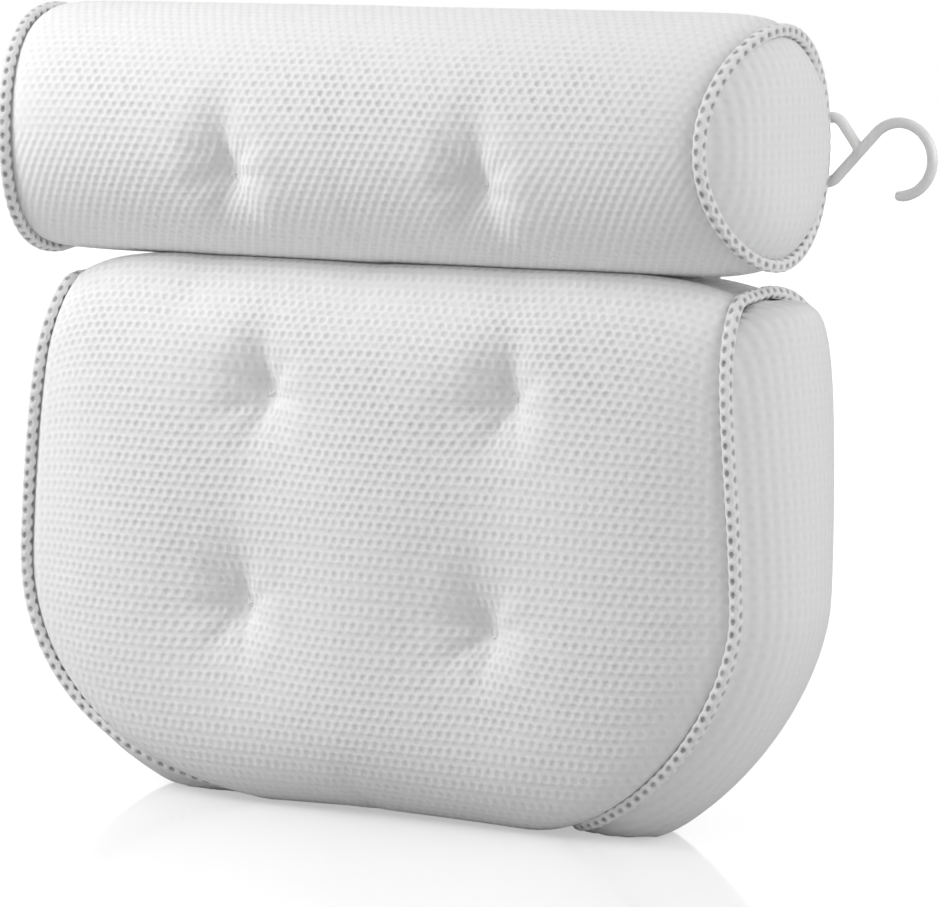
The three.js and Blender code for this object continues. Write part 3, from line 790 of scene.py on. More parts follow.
class OpenMesh(GeometryTree):
    """Lays hexagonal openings on a surface that carries its cloth coordinates as a UV map."""

    word = "open_mesh"
    counts = ("Columns", "Rows")
    lengths = ("Pitch", "Row", "Ridge", "Shoulder", "Pit")
    limits = ("Centre U", "Centre V", "Low U", "Low V", "High U", "High V")
    numbers = (*lengths, *limits, "Hole", "Floor", "Bake Scale")
    seed = 11
    chance = (0.75, 1.2)
    margin = 4
    bake_share = 0.98

    def draw(self) -> Socket:
        """Draws flat hexagons, their holes, then the surface under them.

        Returns:
            The smooth mesh.
        """
        cells = self.hexagons()
        for step in (self.trimmed, self.varied, self.holed, self.marked, self.laid):
            cells = step(cells)
        return self.get("GeometryNodeSetShadeSmooth", {"Geometry": cells})

    def position(self) -> Socket:
        """Returns each point's place."""
        return self.get("GeometryNodeInputPosition")

    def parts(self) -> bpy.types.NodeOutputs:
        """Returns the three parts of each point's place."""
        return self.add("ShaderNodeSeparateXYZ", {0: self.position()}).outputs

    def named(self, name: str, kind: str = "FLOAT") -> Socket:
        """Returns a named attribute."""
        return self.get("GeometryNodeInputNamedAttribute", {"Name": name}, data_type=kind)

    def stored(
        self, cells: Socket, name: str, value: Socket, kind: str = "FLOAT", domain: str = "POINT"
    ) -> Socket:
        """Stores a named attribute and returns the geometry."""
        inputs = {"Geometry": cells, "Name": name, "Value": value}
        return self.get("GeometryNodeStoreNamedAttribute", inputs, data_type=kind, domain=domain)

    def sampled(self, value: Socket, kind: str = "FLOAT_VECTOR", output: str = "Value") -> Socket:
        """Samples a value of the surface at each point's cloth coordinates.

        Args:
            value: what is sampled.
            kind: its data type.
            output: the output that is wanted.

        Returns:
            That output.
        """
        chart = self.named(SURFACE_UV, "FLOAT_VECTOR")
        inputs = {0: self.given["Source"], 1: value, 2: chart, 3: self.position()}
        return self.get("GeometryNodeSampleUVSurface", inputs, output, data_type=kind)

    def hexagons(self) -> Socket:
        """Makes flat hexagons as the dual of a grid with staggered rows.

        Returns:
            The hexagons.
        """
        given = self.given
        width = self.math("MULTIPLY", self.math("SUBTRACT", given["Columns"], 1.0), given["Pitch"])
        height = self.math("MULTIPLY", self.math("SUBTRACT", given["Rows"], 1.0), given["Row"])
        counts = {"Vertices X": given["Columns"], "Vertices Y": given["Rows"]}
        grid = self.get("GeometryNodeMeshGrid", {"Size X": width, "Size Y": height, **counts})
        up = self.math("ADD", self.parts()["Y"], self.math("MULTIPLY", height, 0.5))
        row = self.math("ROUND", self.math("DIVIDE", up, given["Row"]))
        lean = self.math("SUBTRACT", self.math("MODULO", row, 2.0), 0.5)
        shift = self.math("MULTIPLY", self.math("MULTIPLY", lean, 0.5), given["Pitch"])
        across = self.math("ADD", shift, given["Centre U"])
        places = {"X": across, "Y": given["Centre V"], "Z": given["Ridge"]}
        offset = self.get("ShaderNodeCombineXYZ", places)
        moved = self.get("GeometryNodeSetPosition", {"Geometry": grid, "Offset": offset})
        split = self.get("GeometryNodeTriangulate", {0: moved}, quad_method="SHORTEST_DIAGONAL")
        return self.get("GeometryNodeDualMesh", {0: split})

    def trimmed(self, cells: Socket) -> Socket:
        """Drops the hexagons that leave the surface or the wanted region.

        Args:
            cells: the hexagons so far.

        Returns:
            The hexagons that are left.
        """
        valid = self.sampled(self.position(), output="Is Valid")
        inside = self.get("GeometryNodeFieldOnDomain", {0: valid}, data_type="BOOLEAN")
        parts, wanted = self.parts(), 1.0
        for axis, word in (("X", "U"), ("Y", "V")):
            for operation, limit in (("GREATER_THAN", "Low"), ("LESS_THAN", "High")):
                test = self.math(operation, parts[axis], self.given[f"{limit} {word}"])
                wanted = self.math("MULTIPLY", wanted, test)
        outside = self.get("FunctionNodeBooleanMath", {0: inside, 1: wanted}, operation="NAND")
        inputs = {"Geometry": cells, "Selection": outside}
        return self.get("GeometryNodeDeleteGeometry", inputs, domain="FACE", mode="ALL")

    def varied(self, cells: Socket) -> Socket:
        """Notes how open each hexagon is: the surface's openness with a little chance.

        Args:
            cells: the hexagons so far.

        Returns:
            The hexagons with their openness.
        """
        found = self.sampled(self.named(OPENNESS), "FLOAT")
        drawn = self.add("FunctionNodeRandomValue", {"Seed": self.seed}, data_type="FLOAT")
        ends = (socket for socket in drawn.inputs if socket.type == "VALUE" and socket.enabled)
        for socket, value in zip(ends, self.chance):
            socket.default_value = value
        share = next(socket for socket in drawn.outputs if socket.enabled)
        return self.stored(cells, OPENNESS, self.math("MULTIPLY", found, share), domain="FACE")

    def holed(self, cells: Socket) -> Socket:
        """Sinks a rounded pit in every hexagon in two steps.

        Args:
            cells: the hexagons so far.

        Returns:
            The hexagons with their pits.
        """
        top, local = True, self.named(OPENNESS)
        for share, drop in (("Hole", "Shoulder"), ("Floor", "Pit")):
            inputs = {"Mesh": cells, "Selection": top, "Offset Scale": 0.0}
            grown = self.add("GeometryNodeExtrudeMesh", inputs, mode="FACES").outputs
            top = grown["Top"]
            inputs = {"Geometry": grown["Mesh"], "Selection": top, "Scale": self.given[share]}
            shrunk = self.get("GeometryNodeScaleElements", inputs)
            deep = self.math("MULTIPLY", self.given[drop], local)
            down = self.get("ShaderNodeCombineXYZ", {"Z": self.math("MULTIPLY", deep, -1.0)})
            inputs = {"Geometry": shrunk, "Selection": top, "Offset": down}
            cells = self.get("GeometryNodeSetPosition", inputs)
        return cells

    def marked(self, cells: Socket) -> Socket:
        """Notes each point's depth and rib for the finish, and its flat place for baking.

        Args:
            cells: the hexagons so far.

        Returns:
            The hexagons with their attributes.
        """
        given, parts = self.given, self.parts()
        # This depth also sets how much painted shade the finish puts at each point of a hole.
        below = self.math("SUBTRACT", given["Ridge"], parts["Z"])
        deep = self.math("ADD", given["Shoulder"], given["Pit"])
        cells = self.stored(cells, HOLE_DEPTH, self.math("DIVIDE", below, deep))
        flat = {}
        for axis, centre in (("X", "Centre U"), ("Y", "Centre V")):
            away = self.math("SUBTRACT", parts[axis], given[centre])
            flat[axis] = self.math("ADD", self.math("MULTIPLY", away, given["Bake Scale"]), 0.5)
        cells = self.stored(cells, BAKE_UV, self.get("ShaderNodeCombineXYZ", flat), "FLOAT2", "CORNER")
        return self.stored(cells, WALE, self.sampled(self.named(WALE), "FLOAT"))

    def laid(self, cells: Socket) -> Socket:
        """Lays the flat mesh on the surface, each point at its height above it.

        Args:
            cells: the hexagons so far.

        Returns:
            The mesh on its surface.
        """
        under = self.sampled(self.position())
        facing = self.sampled(self.get("GeometryNodeInputNormal"))
        lift = self.get("ShaderNodeVectorMath", {0: facing, "Scale": self.parts()["Z"]}, operation="SCALE")
        total = self.get("ShaderNodeVectorMath", {0: under, 1: lift}, operation="ADD")
        return self.get("GeometryNodeSetPosition", {"Geometry": cells, "Position": total})

    def lay(
        self,
        name: str,
        surface: Thing,
        region: Region,
        sizes: NetSizes,
        finish: Finish,
        keep: Region | None = None,
    ) -> Thing:
        """Makes one piece of open mesh.

        Args:
            name: the piece's name.
            surface: the surface under it, which is removed afterwards.
            region: the cloth coordinates to cover.
            sizes: the mesh's own sizes.
            finish: its finish.
            keep: where the middles of the hexagons have to lie, if not anywhere.

        Returns:
            The piece, as a plain mesh.
        """
        low, high = np.array(region.low), np.array(region.high)
        span, centre = high - low, (low + high) / 2
        columns = int(math.ceil(span[0] / sizes.pitch)) + self.margin
        rows = int(math.ceil(span[1] / sizes.row)) + self.margin
        kept = keep or Region(low - span, high + span)
        reach = max(columns * sizes.pitch, rows * sizes.row) * MM
        values = {word: getattr(sizes, word.lower()) * MM for word in self.lengths}
        values |= {word: place * MM for word, place in zip(self.limits, (*centre, *kept.low, *kept.high))}
        values |= {"Columns": columns, "Rows": rows, "Hole": sizes.hole, "Floor": sizes.floor}
        values |= {"Bake Scale": self.bake_share / reach, "Material": finish.material()}
        piece = self.apply(name, surface, values)
        mend(piece.data)
        return piece


class StitchRow(GeometryTree):
    """Lays short stitches at even steps along a line."""

    word = "stitch_row"
    sizes = {"Step": 4.4 * MM, "Radius": 0.55 * MM, "Stretch": 2.8}
    numbers = tuple(sizes)

    def draw(self) -> Socket:
        """Draws a stretched bead at each step of the line.

        Returns:
            The beads as instances.
        """
        given = self.given
        curve = self.get("GeometryNodeMeshToCurve", {"Mesh": given["Source"]})
        steps = {"Curve": curve, "Length": given["Step"]}
        places = self.add("GeometryNodeCurveToPoints", steps, mode="LENGTH").outputs
        bead = self.get("GeometryNodeMeshIcoSphere", {"Radius": given["Radius"], "Subdivisions": 2})
        size = self.get("ShaderNodeCombineXYZ", {"X": 1.0, "Y": 1.0, "Z": given["Stretch"]})
        turned = {"Points": places["Points"], "Rotation": places["Rotation"]}
        return self.get("GeometryNodeInstanceOnPoints", {**turned, "Instance": bead, "Scale": size})

    def lay(self, name: str, line: Array, body: str) -> None:
        """Makes one row of stitches along points in millimetres, on a body.

        Args:
            name: the piece's name.
            line: points of the row.
            body: the body that it rides on.
        """
        mesh = bpy.data.meshes.new(name + "_line")
        edges = [(i, i + 1) for i in range(len(line) - 1)]
        mesh.from_pydata((line * MM).tolist(), edges, [])
        row = make_object(mesh.name, mesh)
        piece = self.apply(name, row, {**self.sizes, "Material": THREAD.material()})
        piece.data.shade_smooth()
        settle(piece, THREAD, body)


# Forms of the two stuffed panels


@dataclass(frozen=True)
class Tuft:
    """A sewn tuft on a panel's front: its place, draw and creases."""

    word: str
    x: float
    z: float
    depth: float = 15.0
    radius: float = 42.0
    reach_aside: float = 0.66
    reach_up: float = 1.25
    reach_down: float = 0.85
    creases: int = 7
    phase: float = 0.0
    gather: float = 4.5
    sharpness: float = 1.8

    def offsets(self, points: Array) -> tuple[Array, Array, Array]:
        """Returns how far points lie to the right, above and in all, seen from the front."""
        dx, dz = points[..., 0] - self.x, points[..., 2] - self.z
        return dx, dz, np.hypot(dx, dz)

    def draw(self, points: Array) -> Array:
        """Returns how far the tuft draws points in: a hollow that reaches up more than down.

        Args:
            points: points of the panel.

        Returns:
            A length in millimetres for each point.
        """
        dx, dz, _ = self.offsets(points)
        power = self.sharpness
        tall = self.radius * np.where(dz > 0, self.reach_up, self.reach_down)
        far = np.abs(dx / (self.reach_aside * self.radius)) ** power + np.abs(dz / tall) ** power
        return self.depth * np.maximum(0, 1 - far ** (1 / power)) ** 1.8


def rounded_square(angle: Array, squareness: float | Array) -> tuple[Array, Array]:
    """Returns a rounded square's two coordinates at each angle.

    Args:
        angle: the angles.
        squareness: how square it is; two is a circle.

    Returns:
        The coordinates across and up.
    """
    across, up = np.cos(angle), np.sin(angle)
    reach = (np.abs(across) ** squareness + np.abs(up) ** squareness) ** (-1 / squareness)
    return across * reach, up * reach


def front_share(angle: Array) -> Array:
    """Returns how much each angle of a section belongs to the front."""
    return np.clip(-2 * np.cos(angle), 0, 1)


@dataclass(frozen=True)
class PanelForm:
    """The swollen form of one panel. Angles run from the back over the top to the front and foot."""

    tufts: tuple[Tuft, ...]
    floor: float
    ceiling: float
    bulge: float
    fullness: float
    crown_power: float = 10.0
    top_power: float = 12.0
    crown_roundness: float = 0.65
    dome_power: float = 1.3
    centre_x: float = 0.0
    back_seam: float = math.radians(42)
    step: float = 5.0

    def seam(self, angle: Array, side: Side = Side.RIGHT) -> Array:
        """Returns points of a side seam, with x measured outwards."""
        raise NotImplementedError

    def outward(self, angle: Array, side: Side) -> Array:
        """Returns the directions in which a side panel swells, with x measured outwards."""
        return np.tile((1.0, 0.0, 0.0), (len(angle), 1))

    def middle(self, angle: Array) -> Array:
        """Returns points of the section through the middle."""
        raise NotImplementedError

    def front_angles(self) -> tuple[Array, int, int]:
        """Returns even angles from the top over the front to the foot, and the two at the back seams.

        Returns:
            The angles, and the numbers of the two at the back seams.
        """
        quarter = math.pi / 2
        stops = [quarter, math.pi - self.back_seam, math.pi + self.back_seam, 3 * quarter]
        parts, marks = [], []
        for low, high in zip(stops[:-1], stops[1:]):
            fine = np.linspace(low, high, 400)
            run = run_along(self.middle(fine))
            count = max(2, round(run[-1] / self.step))
            parts.append(np.interp(np.linspace(0, run[-1], count + 1)[:-1], run, fine))
            marks.append(count)
        angles = np.concatenate([*parts, [3 * quarter]])
        return angles, marks[0], marks[0] + marks[1]

    def wrap(self, along: Array, angle: Array, swell_share: float) -> Array:
        """Returns the cover's grid, from left to right and round the section.

        Args:
            along: shares of the width, from minus one to one.
            angle: angles round the section.
            swell_share: how far the panel is swollen; one is fully.

        Returns:
            The grid in millimetres.
        """
        left, right = (self.seam(angle, side) for side in Side)
        seam = np.where(along[:, None, None] < 0, left[None], right[None])
        upper = np.maximum(0, np.sin(angle)) ** 2
        power = self.crown_power + (self.top_power - self.crown_power) * upper
        swell = (1 - np.abs(along)[:, None] ** power[None]) ** self.crown_roundness
        swell = swell[..., None] * swell_share
        points = seam * (1 - swell) + self.middle(angle)[None] * swell
        points[..., 0] = self.centre_x + along[:, None] * seam[..., 0]
        points[..., 2] = np.clip(points[..., 2], self.floor, self.ceiling)
        draws = [tuft.draw(points) for tuft in self.tufts]
        points[..., 1] += front_share(angle)[None] * np.max(draws, axis=0)
        return points

    def end(self, angle: Array, across: Array, side: Side) -> Array:
        """Returns a side panel's grid, from the top down and from the front to the back.

        Args:
            angle: angles from the top to the foot.
            across: shares of the depth, from minus one to one.
            side: the side that the panel is on.

        Returns:
            The grid in millimetres.
        """
        front, back = self.seam(angle, side), self.seam(math.pi - angle, side)
        half = (back[:, 1] - front[:, 1]) / 2
        narrowing = 1 - (half / half.max()) ** 2
        share = ((1 + across) / 2)[None, :, None]
        full = (1 - narrowing**self.fullness)[:, None] * (1 - across**2)[None]
        points = front[:, None] * (1 - share) + back[:, None] * share
        dome = self.bulge * (1 - (1 - full) ** self.dome_power)
        points = points + self.outward(angle, side)[:, None] * dome[..., None]
        points[..., 0] = self.centre_x + side.value * points[..., 0]
        points[..., 2] = np.maximum(points[..., 2], self.floor)
        return points


@dataclass(frozen=True)
class SeamCut:
    """How one side seam of the cushion is cut: its foot, lower corner, taper and top."""

    foot_half_width: float
    corner_roundness: float
    top_taper: float
    top: float


@dataclass(frozen=True)
class CushionForm(PanelForm):
    """The back cushion: a rounded shield that stands on its foot."""

    height: float = 255.0
    front: float = 59.0
    back: float = 50.0
    squareness: float = 4.5
    foot_sink: float = 3.0
    side_half_width: float = 192.0
    corner_rise: float = 110.0
    right_cut: SeamCut = SeamCut(90.0, 1.7, 11.0, 246.5)
    left_cut: SeamCut = SeamCut(55.0, 2.1, 13.0, 240.5)
    seam_foot: float = 5.8
    seam_front: float = 45.0
    seam_back_top: float = 50.0
    seam_back_foot: float = 33.0
    seam_squareness: float = 5.0
    arch_squareness: float = 5.5
    arch_crown: float = 15.0
    back_taper: float = 15.0

    def half_width(self, z: Array, cut: SeamCut) -> Array:
        """Returns the seam's distance from the middle at each height.

        Args:
            z: the heights.
            cut: how the seam is cut.

        Returns:
            A length in millimetres for each height.
        """
        drop = np.maximum(0, self.corner_rise - z) / (self.corner_rise - self.seam_foot)
        turn = np.maximum(0, 1 - drop**cut.corner_roundness) ** (1 / cut.corner_roundness)
        lean = np.maximum(0, z - self.corner_rise) / (cut.top - self.corner_rise)
        wide = cut.foot_half_width + (self.side_half_width - cut.foot_half_width) * turn
        return wide - cut.top_taper * lean**1.4

    def outward(self, angle: Array, side: Side) -> Array:
        """Returns the directions square to the seam, seen from the front.

        Args:
            angle: angles round the section.
            side: the side that the seam is on.

        Returns:
            A direction of length one for each angle.
        """
        step = 1e-3
        tangent = self.seam(angle + step, side) - self.seam(angle - step, side)
        return unit(np.stack([-tangent[:, 2], 0 * angle, tangent[:, 0]], axis=-1))

    def seam(self, angle: Array, side: Side = Side.RIGHT) -> Array:
        """Returns points of a side seam, with x measured outwards.

        Args:
            angle: angles round the section.
            side: the side that the seam is on.

        Returns:
            One point for each angle.
        """
        cut = self.left_cut if side is Side.LEFT else self.right_cut
        square = np.where(np.sin(angle) > 0, self.arch_squareness, self.seam_squareness)
        across, up = rounded_square(angle, square)
        z = (self.seam_foot + cut.top) / 2 + up * (cut.top - self.seam_foot) / 2
        back = self.seam_back_foot + (up + 1) / 2 * (self.seam_back_top - self.seam_back_foot)
        y = across * np.where(across > 0, back, self.seam_front)
        z = z - self.arch_crown * across**2 * np.maximum(0, up) ** 2
        low = (cut.top - z) / (cut.top - self.seam_foot)
        x = self.half_width(z, cut) - self.back_taper * np.maximum(0, across) * low**1.5
        return np.stack([x, y, z], axis=-1)

    def middle(self, angle: Array) -> Array:
        """Returns points of the section through the middle.

        Args:
            angle: angles round the section.

        Returns:
            One point for each angle.
        """
        across, up = rounded_square(angle, self.squareness)
        z = (self.height - self.foot_sink) / 2 + up * (self.height + self.foot_sink) / 2
        y = across * np.where(across > 0, self.back, self.front)
        return np.stack([0 * y, y, z], axis=-1)


@dataclass(frozen=True)
class RollForm(PanelForm):
    """The neck roll: a stuffed cylinder with domed ends."""

    length: float = 391.0
    front_draw: float = 11.5
    back_draw: float = 5.0
    radius: float = 59.5
    end_radius: float = 50.0
    y: float = -9.5
    z: float = 314.8
    left_growth: float = 5.0
    left_sink: float = 1.5

    def seam(self, angle: Array, side: Side = Side.RIGHT) -> Array:
        """Returns points of a side seam, with x measured outwards.

        Args:
            angle: angles round the section.
            side: the side that the seam is on.

        Returns:
            One point for each angle.
        """
        left = 1.0 if side is Side.LEFT else 0.0
        radius = self.end_radius + self.left_growth * left
        across, up = np.cos(angle), np.sin(angle)
        x = self.length / 2 - self.front_draw * np.maximum(0, -across) ** 2
        x = x - self.back_draw * np.maximum(0, across) ** 2
        z = self.z - self.left_sink * left + radius * up
        return np.stack([x, self.y + radius * across, z], axis=-1)

    def middle(self, angle: Array) -> Array:
        """Returns points of the section through the middle.

        Args:
            angle: angles round the section.

        Returns:
            One point for each angle.
        """
        y = self.y + self.radius * np.cos(angle)
        z = self.z + self.radius * np.sin(angle)
        return np.stack([0 * y, y, z], axis=-1)


# Stuffed panels


@dataclass
class StuffedPanel:
    """One stuffed panel: cover, back panel, side panels, bindings, filling and tuft stitches."""

    word: str
    form: PanelForm
    net: OpenMesh
    sizes: NetSizes = field(default_factory=NetSizes)
    columns: int = 76
    end_columns: int = 20
    start_share: float = 0.93
    movement: float = 6.0
    pressure: float = 12.0
    moments: int = 20
    sewn_reach: float = 4.0
    side_openness: float = 0.12
    low_openness: float = 0.32
    high_openness: float = 0.76
    open_climb: float = 22.0
    open_spread: float = 26.0
    chevron: float = 0.0
    crease_height: float = 1.2
    binding_radius: float = 3.2
    binding_pitch: float = 6.0
    filling_inset: float = 5.0
    thread_radius: float = 0.7
    cups: tuple[str, ...] = ()
    cup_rise: float = 14.2
    cup_radius: float = 21.0
    seat_radius: float = 9.0
    seat_fade: float = 26.0
    lid: "StuffedPanel | None" = None
    crest_y: float = -27.0
    crest_width: float = 10.0
    crest_rise: float = 4.0
    crest_gap: float = 0.6

    def build(self) -> None:
        """Stuffs the panel and makes all its pieces."""
        self.angles, first, second = self.form.front_angles()
        self.front_count = len(self.angles)
        self.loop = np.concatenate([self.angles, 3 * math.pi - self.angles[-2:0:-1]])
        self.run = run_along(self.form.middle(np.append(self.loop, self.loop[0] + FULL_TURN)))
        self.along = np.linspace(-1, 1, self.columns + 1)
        across = np.linspace(-1, 1, self.end_columns + 1)
        self.seam_marks = (len(self.loop) - second, len(self.loop) - first)
        self.wrap = self.form.wrap(self.along, self.loop, self.start_share)
        self.ends = {side: self.form.end(self.angles, across, side) for side in Side}
        self.inflate()
        self.front, self.behind = self.wrap[:, : self.front_count], self.wrap[:, self.front_count :]
        self.crease()
        if self.lid is not None:
            self.meet(self.lid.wrap.reshape(-1, 3))
        self.seat_cups()
        self.sew_cover()
        self.sew_ends()
        self.sew_bindings()
        self.fill()
        self.sew_tufts()

    def joined(self) -> tuple[Array, Array, list]:
        """Joins the cover and side grids into one closed skin.

        Returns:
            The skin's points, each grid point's number in it, and its faces.
        """
        rows, columns = self.wrap.shape[:2]
        grids = (self.wrap, *self.ends.values())
        parts = [(grid.reshape(-1, 3), grid_faces(*grid.shape[:2])) for grid in grids]
        for start in range(0, (rows - 1) * columns, columns):
            after = start + columns
            parts[0][1].append([after - 1, after + columns - 1, after, start])
        every, faces = merged(parts)
        skin, number = np.unique(np.round(every, 3), axis=0, return_inverse=True)
        number = number.ravel()
        faces = [list(dict.fromkeys(int(number[corner]) for corner in face)) for face in faces]
        return skin, number, [face for face in faces if len(face) > 2]

    def inflate(self) -> None:
        """Blows the closed skin up with cloth pressure, held at the seams and tufts."""
        skin, number, faces = self.joined()
        mesh = make_mesh(self.word + "_skin", skin, faces)
        turn_outwards(mesh, weld=False)
        puff = make_object(mesh.name, mesh)
        held = puff.vertex_groups.new(name="sewn")
        held.add(self.pinned(number), 1.0, "REPLACE")
        cloth = puff.modifiers.new("Cloth", "CLOTH")
        stiffness = {"tension": 6.0, "compression": 6.0, "shear": 2.0, "bending": 0.3}
        settings = {"quality": 6, "mass": 0.3}
        settings |= {word + "_stiffness": value for word, value in stiffness.items()}
        settings |= {"use_pressure": True, "uniform_pressure_force": self.pressure}
        settings["vertex_group_mass"] = held.name
        for name, value in settings.items():
            setattr(cloth.settings, name, value)
        cloth.settings.effector_weights.gravity = 0.0
        cloth.collision_settings.use_collision = False
        cloth.point_cache.frame_start = 1
        cloth.point_cache.frame_end = self.moments
        for moment in range(1, self.moments + 1):
            bpy.context.scene.frame_set(moment)
        graph = bpy.context.evaluated_depsgraph_get()
        moved = read_points(puff.evaluated_get(graph).data) - skin
        bpy.context.scene.frame_set(1)
        length = np.linalg.norm(moved, axis=1, keepdims=True)
        LOG.info("%s skin moved %.1f mm at most", self.word, float(length.max()))
        skin = skin + moved * np.minimum(1, self.movement / np.maximum(length, 1e-6))
        skin[:, 2] = np.clip(skin[:, 2], self.form.floor, self.form.ceiling)
        bpy.data.objects.remove(puff)
        self.spread(skin[number])

    def pinned(self, number: Array) -> list[int]:
        """Returns the skin points that are sewn down: the seams and the tufts.

        Args:
            number: each grid point's number in the skin.

        Returns:
            The numbers of the held points.
        """
        grid = np.arange(self.wrap.shape[0] * self.wrap.shape[1]).reshape(self.wrap.shape[:2])
        sewn = [grid[0], grid[-1]]
        front = self.wrap[:, : self.front_count]
        for tuft in self.form.tufts:
            sewn.append(grid[:, : self.front_count][tuft.offsets(front)[2] < self.sewn_reach])
        return sorted(set(number[np.concatenate(sewn)].tolist()))

    def spread(self, points: Array) -> None:
        """Puts the skin's points back on the cover and side grids, evened out.

        Args:
            points: the new place of each grid point.
        """
        start, lap, passes = 0, 8, 3
        for grid in (self.wrap, *self.ends.values()):
            count = grid.shape[0] * grid.shape[1]
            moved = points[start : start + count].reshape(grid.shape) - grid
            if grid is self.wrap:
                lapped = np.concatenate([moved[:, -lap:], moved, moved[:, :lap]], axis=1)
                moved = evened(lapped, passes)[:, lap:-lap]
                moved[[0, -1]] = 0.0
            else:
                moved = evened(moved, passes)
            grid += moved
            start += count

    def crease(self) -> None:
        """Gathers short radial creases round every tuft."""
        rise, ease = 0.25, 1.5
        for tuft in self.form.tufts:
            dx, dz, away = tuft.offsets(self.front)
            away = away / tuft.radius
            fade = np.clip(away / rise, 0, 1) * np.clip(1 - away, 0, 1) ** ease
            wave = np.cos(tuft.creases * np.arctan2(dz, dx) + tuft.phase)
            self.front[..., 1] += self.crease_height * fade * wave * front_share(self.angles)

    def meet(self, above: Array) -> None:
        """Lifts the front of the top until it nearly touches the skin that lies on it.

        Args:
            above: points of the skin that lies on it.
        """
        top_share, least, reach, depth = 0.5, 0.1, 7.0, 30.0
        upper = np.sin(self.angles) > top_share
        crest = self.front[:, upper]
        lift = self.crest_rise * np.exp(-(((crest[..., 1] - self.crest_y) / self.crest_width) ** 2))
        for row, column in np.argwhere(lift > least):
            place = crest[row, column]
            away = np.hypot(above[:, 0] - place[0], above[:, 1] - place[1])
            near = (away < reach) & (above[:, 2] < self.lid.form.floor + depth)
            if near.any():
                limit = np.average(above[near, 2], weights=1 / (1 + away[near] ** 2)) - self.crest_gap
                crest[row, column, 2] = max(place[2], min(place[2] + lift[row, column], limit))
        self.front[:, upper] = crest

    def seat_cups(self) -> None:
        """Draws the back panel flat to the seat of every suction cup."""
        behind = self.behind
        for node in self.cups:
            low, high = solid_box(node)
            middle = (low[0] + high[0]) / 2
            away = np.hypot(behind[..., 0] - middle, behind[..., 2] - high[2] + self.cup_radius)
            near = np.clip(1 - (away - self.seat_radius) / self.seat_fade, 0, 1)
            near = near**2 * (3 - 2 * near)
            behind[..., 1] += (high[1] - self.cup_rise - behind[..., 1]) * near

    def knit(self, name: str, node: str, fill: float, *grids: Array) -> None:
        """Lays open mesh on a surface and settles it on the panel's body.

        Args:
            name: the piece's name after the panel's word.
            node: the solid's name after the panel's word.
            fill: not used.
            grids: the surface's points, chart, openness and wales.
        """
        name = f"{self.word}_{name}"
        surface = cloth_surface(name + "_surface", *grids)
        piece = self.net.lay(name, surface, chart_region(grids[1]), self.sizes, OPEN_MESH)
        settle(piece, OPEN_MESH, self.word, f"{self.word}_{node}")

    def sew_cover(self) -> None:
        """Makes the cover and the back panel."""
        low, high = self.seam_marks
        turn, run = len(self.loop), self.run
        front = np.concatenate([np.arange(high, turn), np.arange(low + 1)])
        self.panel("cover", front, np.concatenate([run[high:turn] - run[turn], run[: low + 1]]))
        self.panel("back_panel", np.arange(low, high + 1), run[low : high + 1])

    def panel(self, word: str, columns: Array, lengths: Array) -> None:
        """Makes one wrapped panel from the loop's columns and their cloth lengths.

        Args:
            word: the panel's name.
            columns: the columns that it takes.
            lengths: the cloth's length at each column.
        """
        points = self.wrap[:, columns]
        u = self.along[:, None] * self.form.seam(self.loop[columns])[None, :, 0]
        chart = charted(u, -lengths) + self.gathered(points)
        points, chart = hemmed(refine(points), refine(chart), (1, 0))
        front = -np.interp(math.pi, self.loop, self.run[:-1])
        lean = self.chevron * np.abs(chart[..., 1] - front) / (2 * self.sizes.row)
        wale = chart[..., 0] / self.sizes.pitch + lean
        grids = (grid[::-1] for grid in (points, chart, self.openness(points), wale))
        self.knit(word + "_mesh", word, 0.85, *grids)

    def gathered(self, points: Array) -> Array:
        """Returns how far the tufts draw more cloth in: the shift of the cloth coordinates.

        Args:
            points: the panel's grid.

        Returns:
            A shift for each point, in millimetres.
        """
        rise, reach, upward = 0.35, 1.5, 0.35
        shift = np.zeros((*points.shape[:2], 2))
        for tuft in self.form.tufts:
            dx, dz, away = tuft.offsets(points)
            share = away / tuft.radius
            pull = tuft.gather * np.clip(share / rise, 0, 1) * np.clip(reach - share, 0, 1) ** 2
            pull = pull * (points[..., 1] < 0) / np.maximum(away, 1e-6)
            shift += np.stack([pull * dx, upward * pull * dz], axis=-1)
        return shift

    def openness(self, points: Array) -> Array:
        """Returns how open the mesh is: most where it faces up, less at tufts and seams.

        Args:
            points: the panel's grid.

        Returns:
            A share for each point.
        """
        passes, tuft_loss, tuft_reach, edge_loss, edge_power = 12, 0.5, 0.45, 0.9, 10
        patch_mean, patch_swing, patch_width, patch_height, patch_lean = 0.95, 0.2, 31, 23, 70
        normals = grid_normals(points)
        outward = np.sign(np.sum(normals * (points - points.reshape(-1, 3).mean(0))))
        climb = evened(np.degrees(np.arcsin(np.clip(outward * normals[..., 2], -1, 1))), passes)
        # The holes' painted shade grows with the openness, so it is strongest where the cloth climbs at
        # about this angle.
        lit = np.exp(-(((climb - self.open_climb) / self.open_spread) ** 2))
        openness = self.low_openness + (self.high_openness - self.low_openness) * lit
        for tuft in self.form.tufts:
            away = tuft.offsets(points)[2] / tuft.radius
            openness *= 1 - tuft_loss * np.exp(-((away / tuft_reach) ** 2)) * (points[..., 1] < 0)
        edge = np.linspace(-1, 1, points.shape[0])[:, None]
        openness *= 1 - edge_loss * np.abs(edge) ** edge_power
        x, z = points[..., 0], points[..., 2]
        patch = np.sin(x / patch_width + 1.3) * np.sin(z / patch_height + x / patch_lean)
        return openness * (patch_mean + patch_swing * patch)

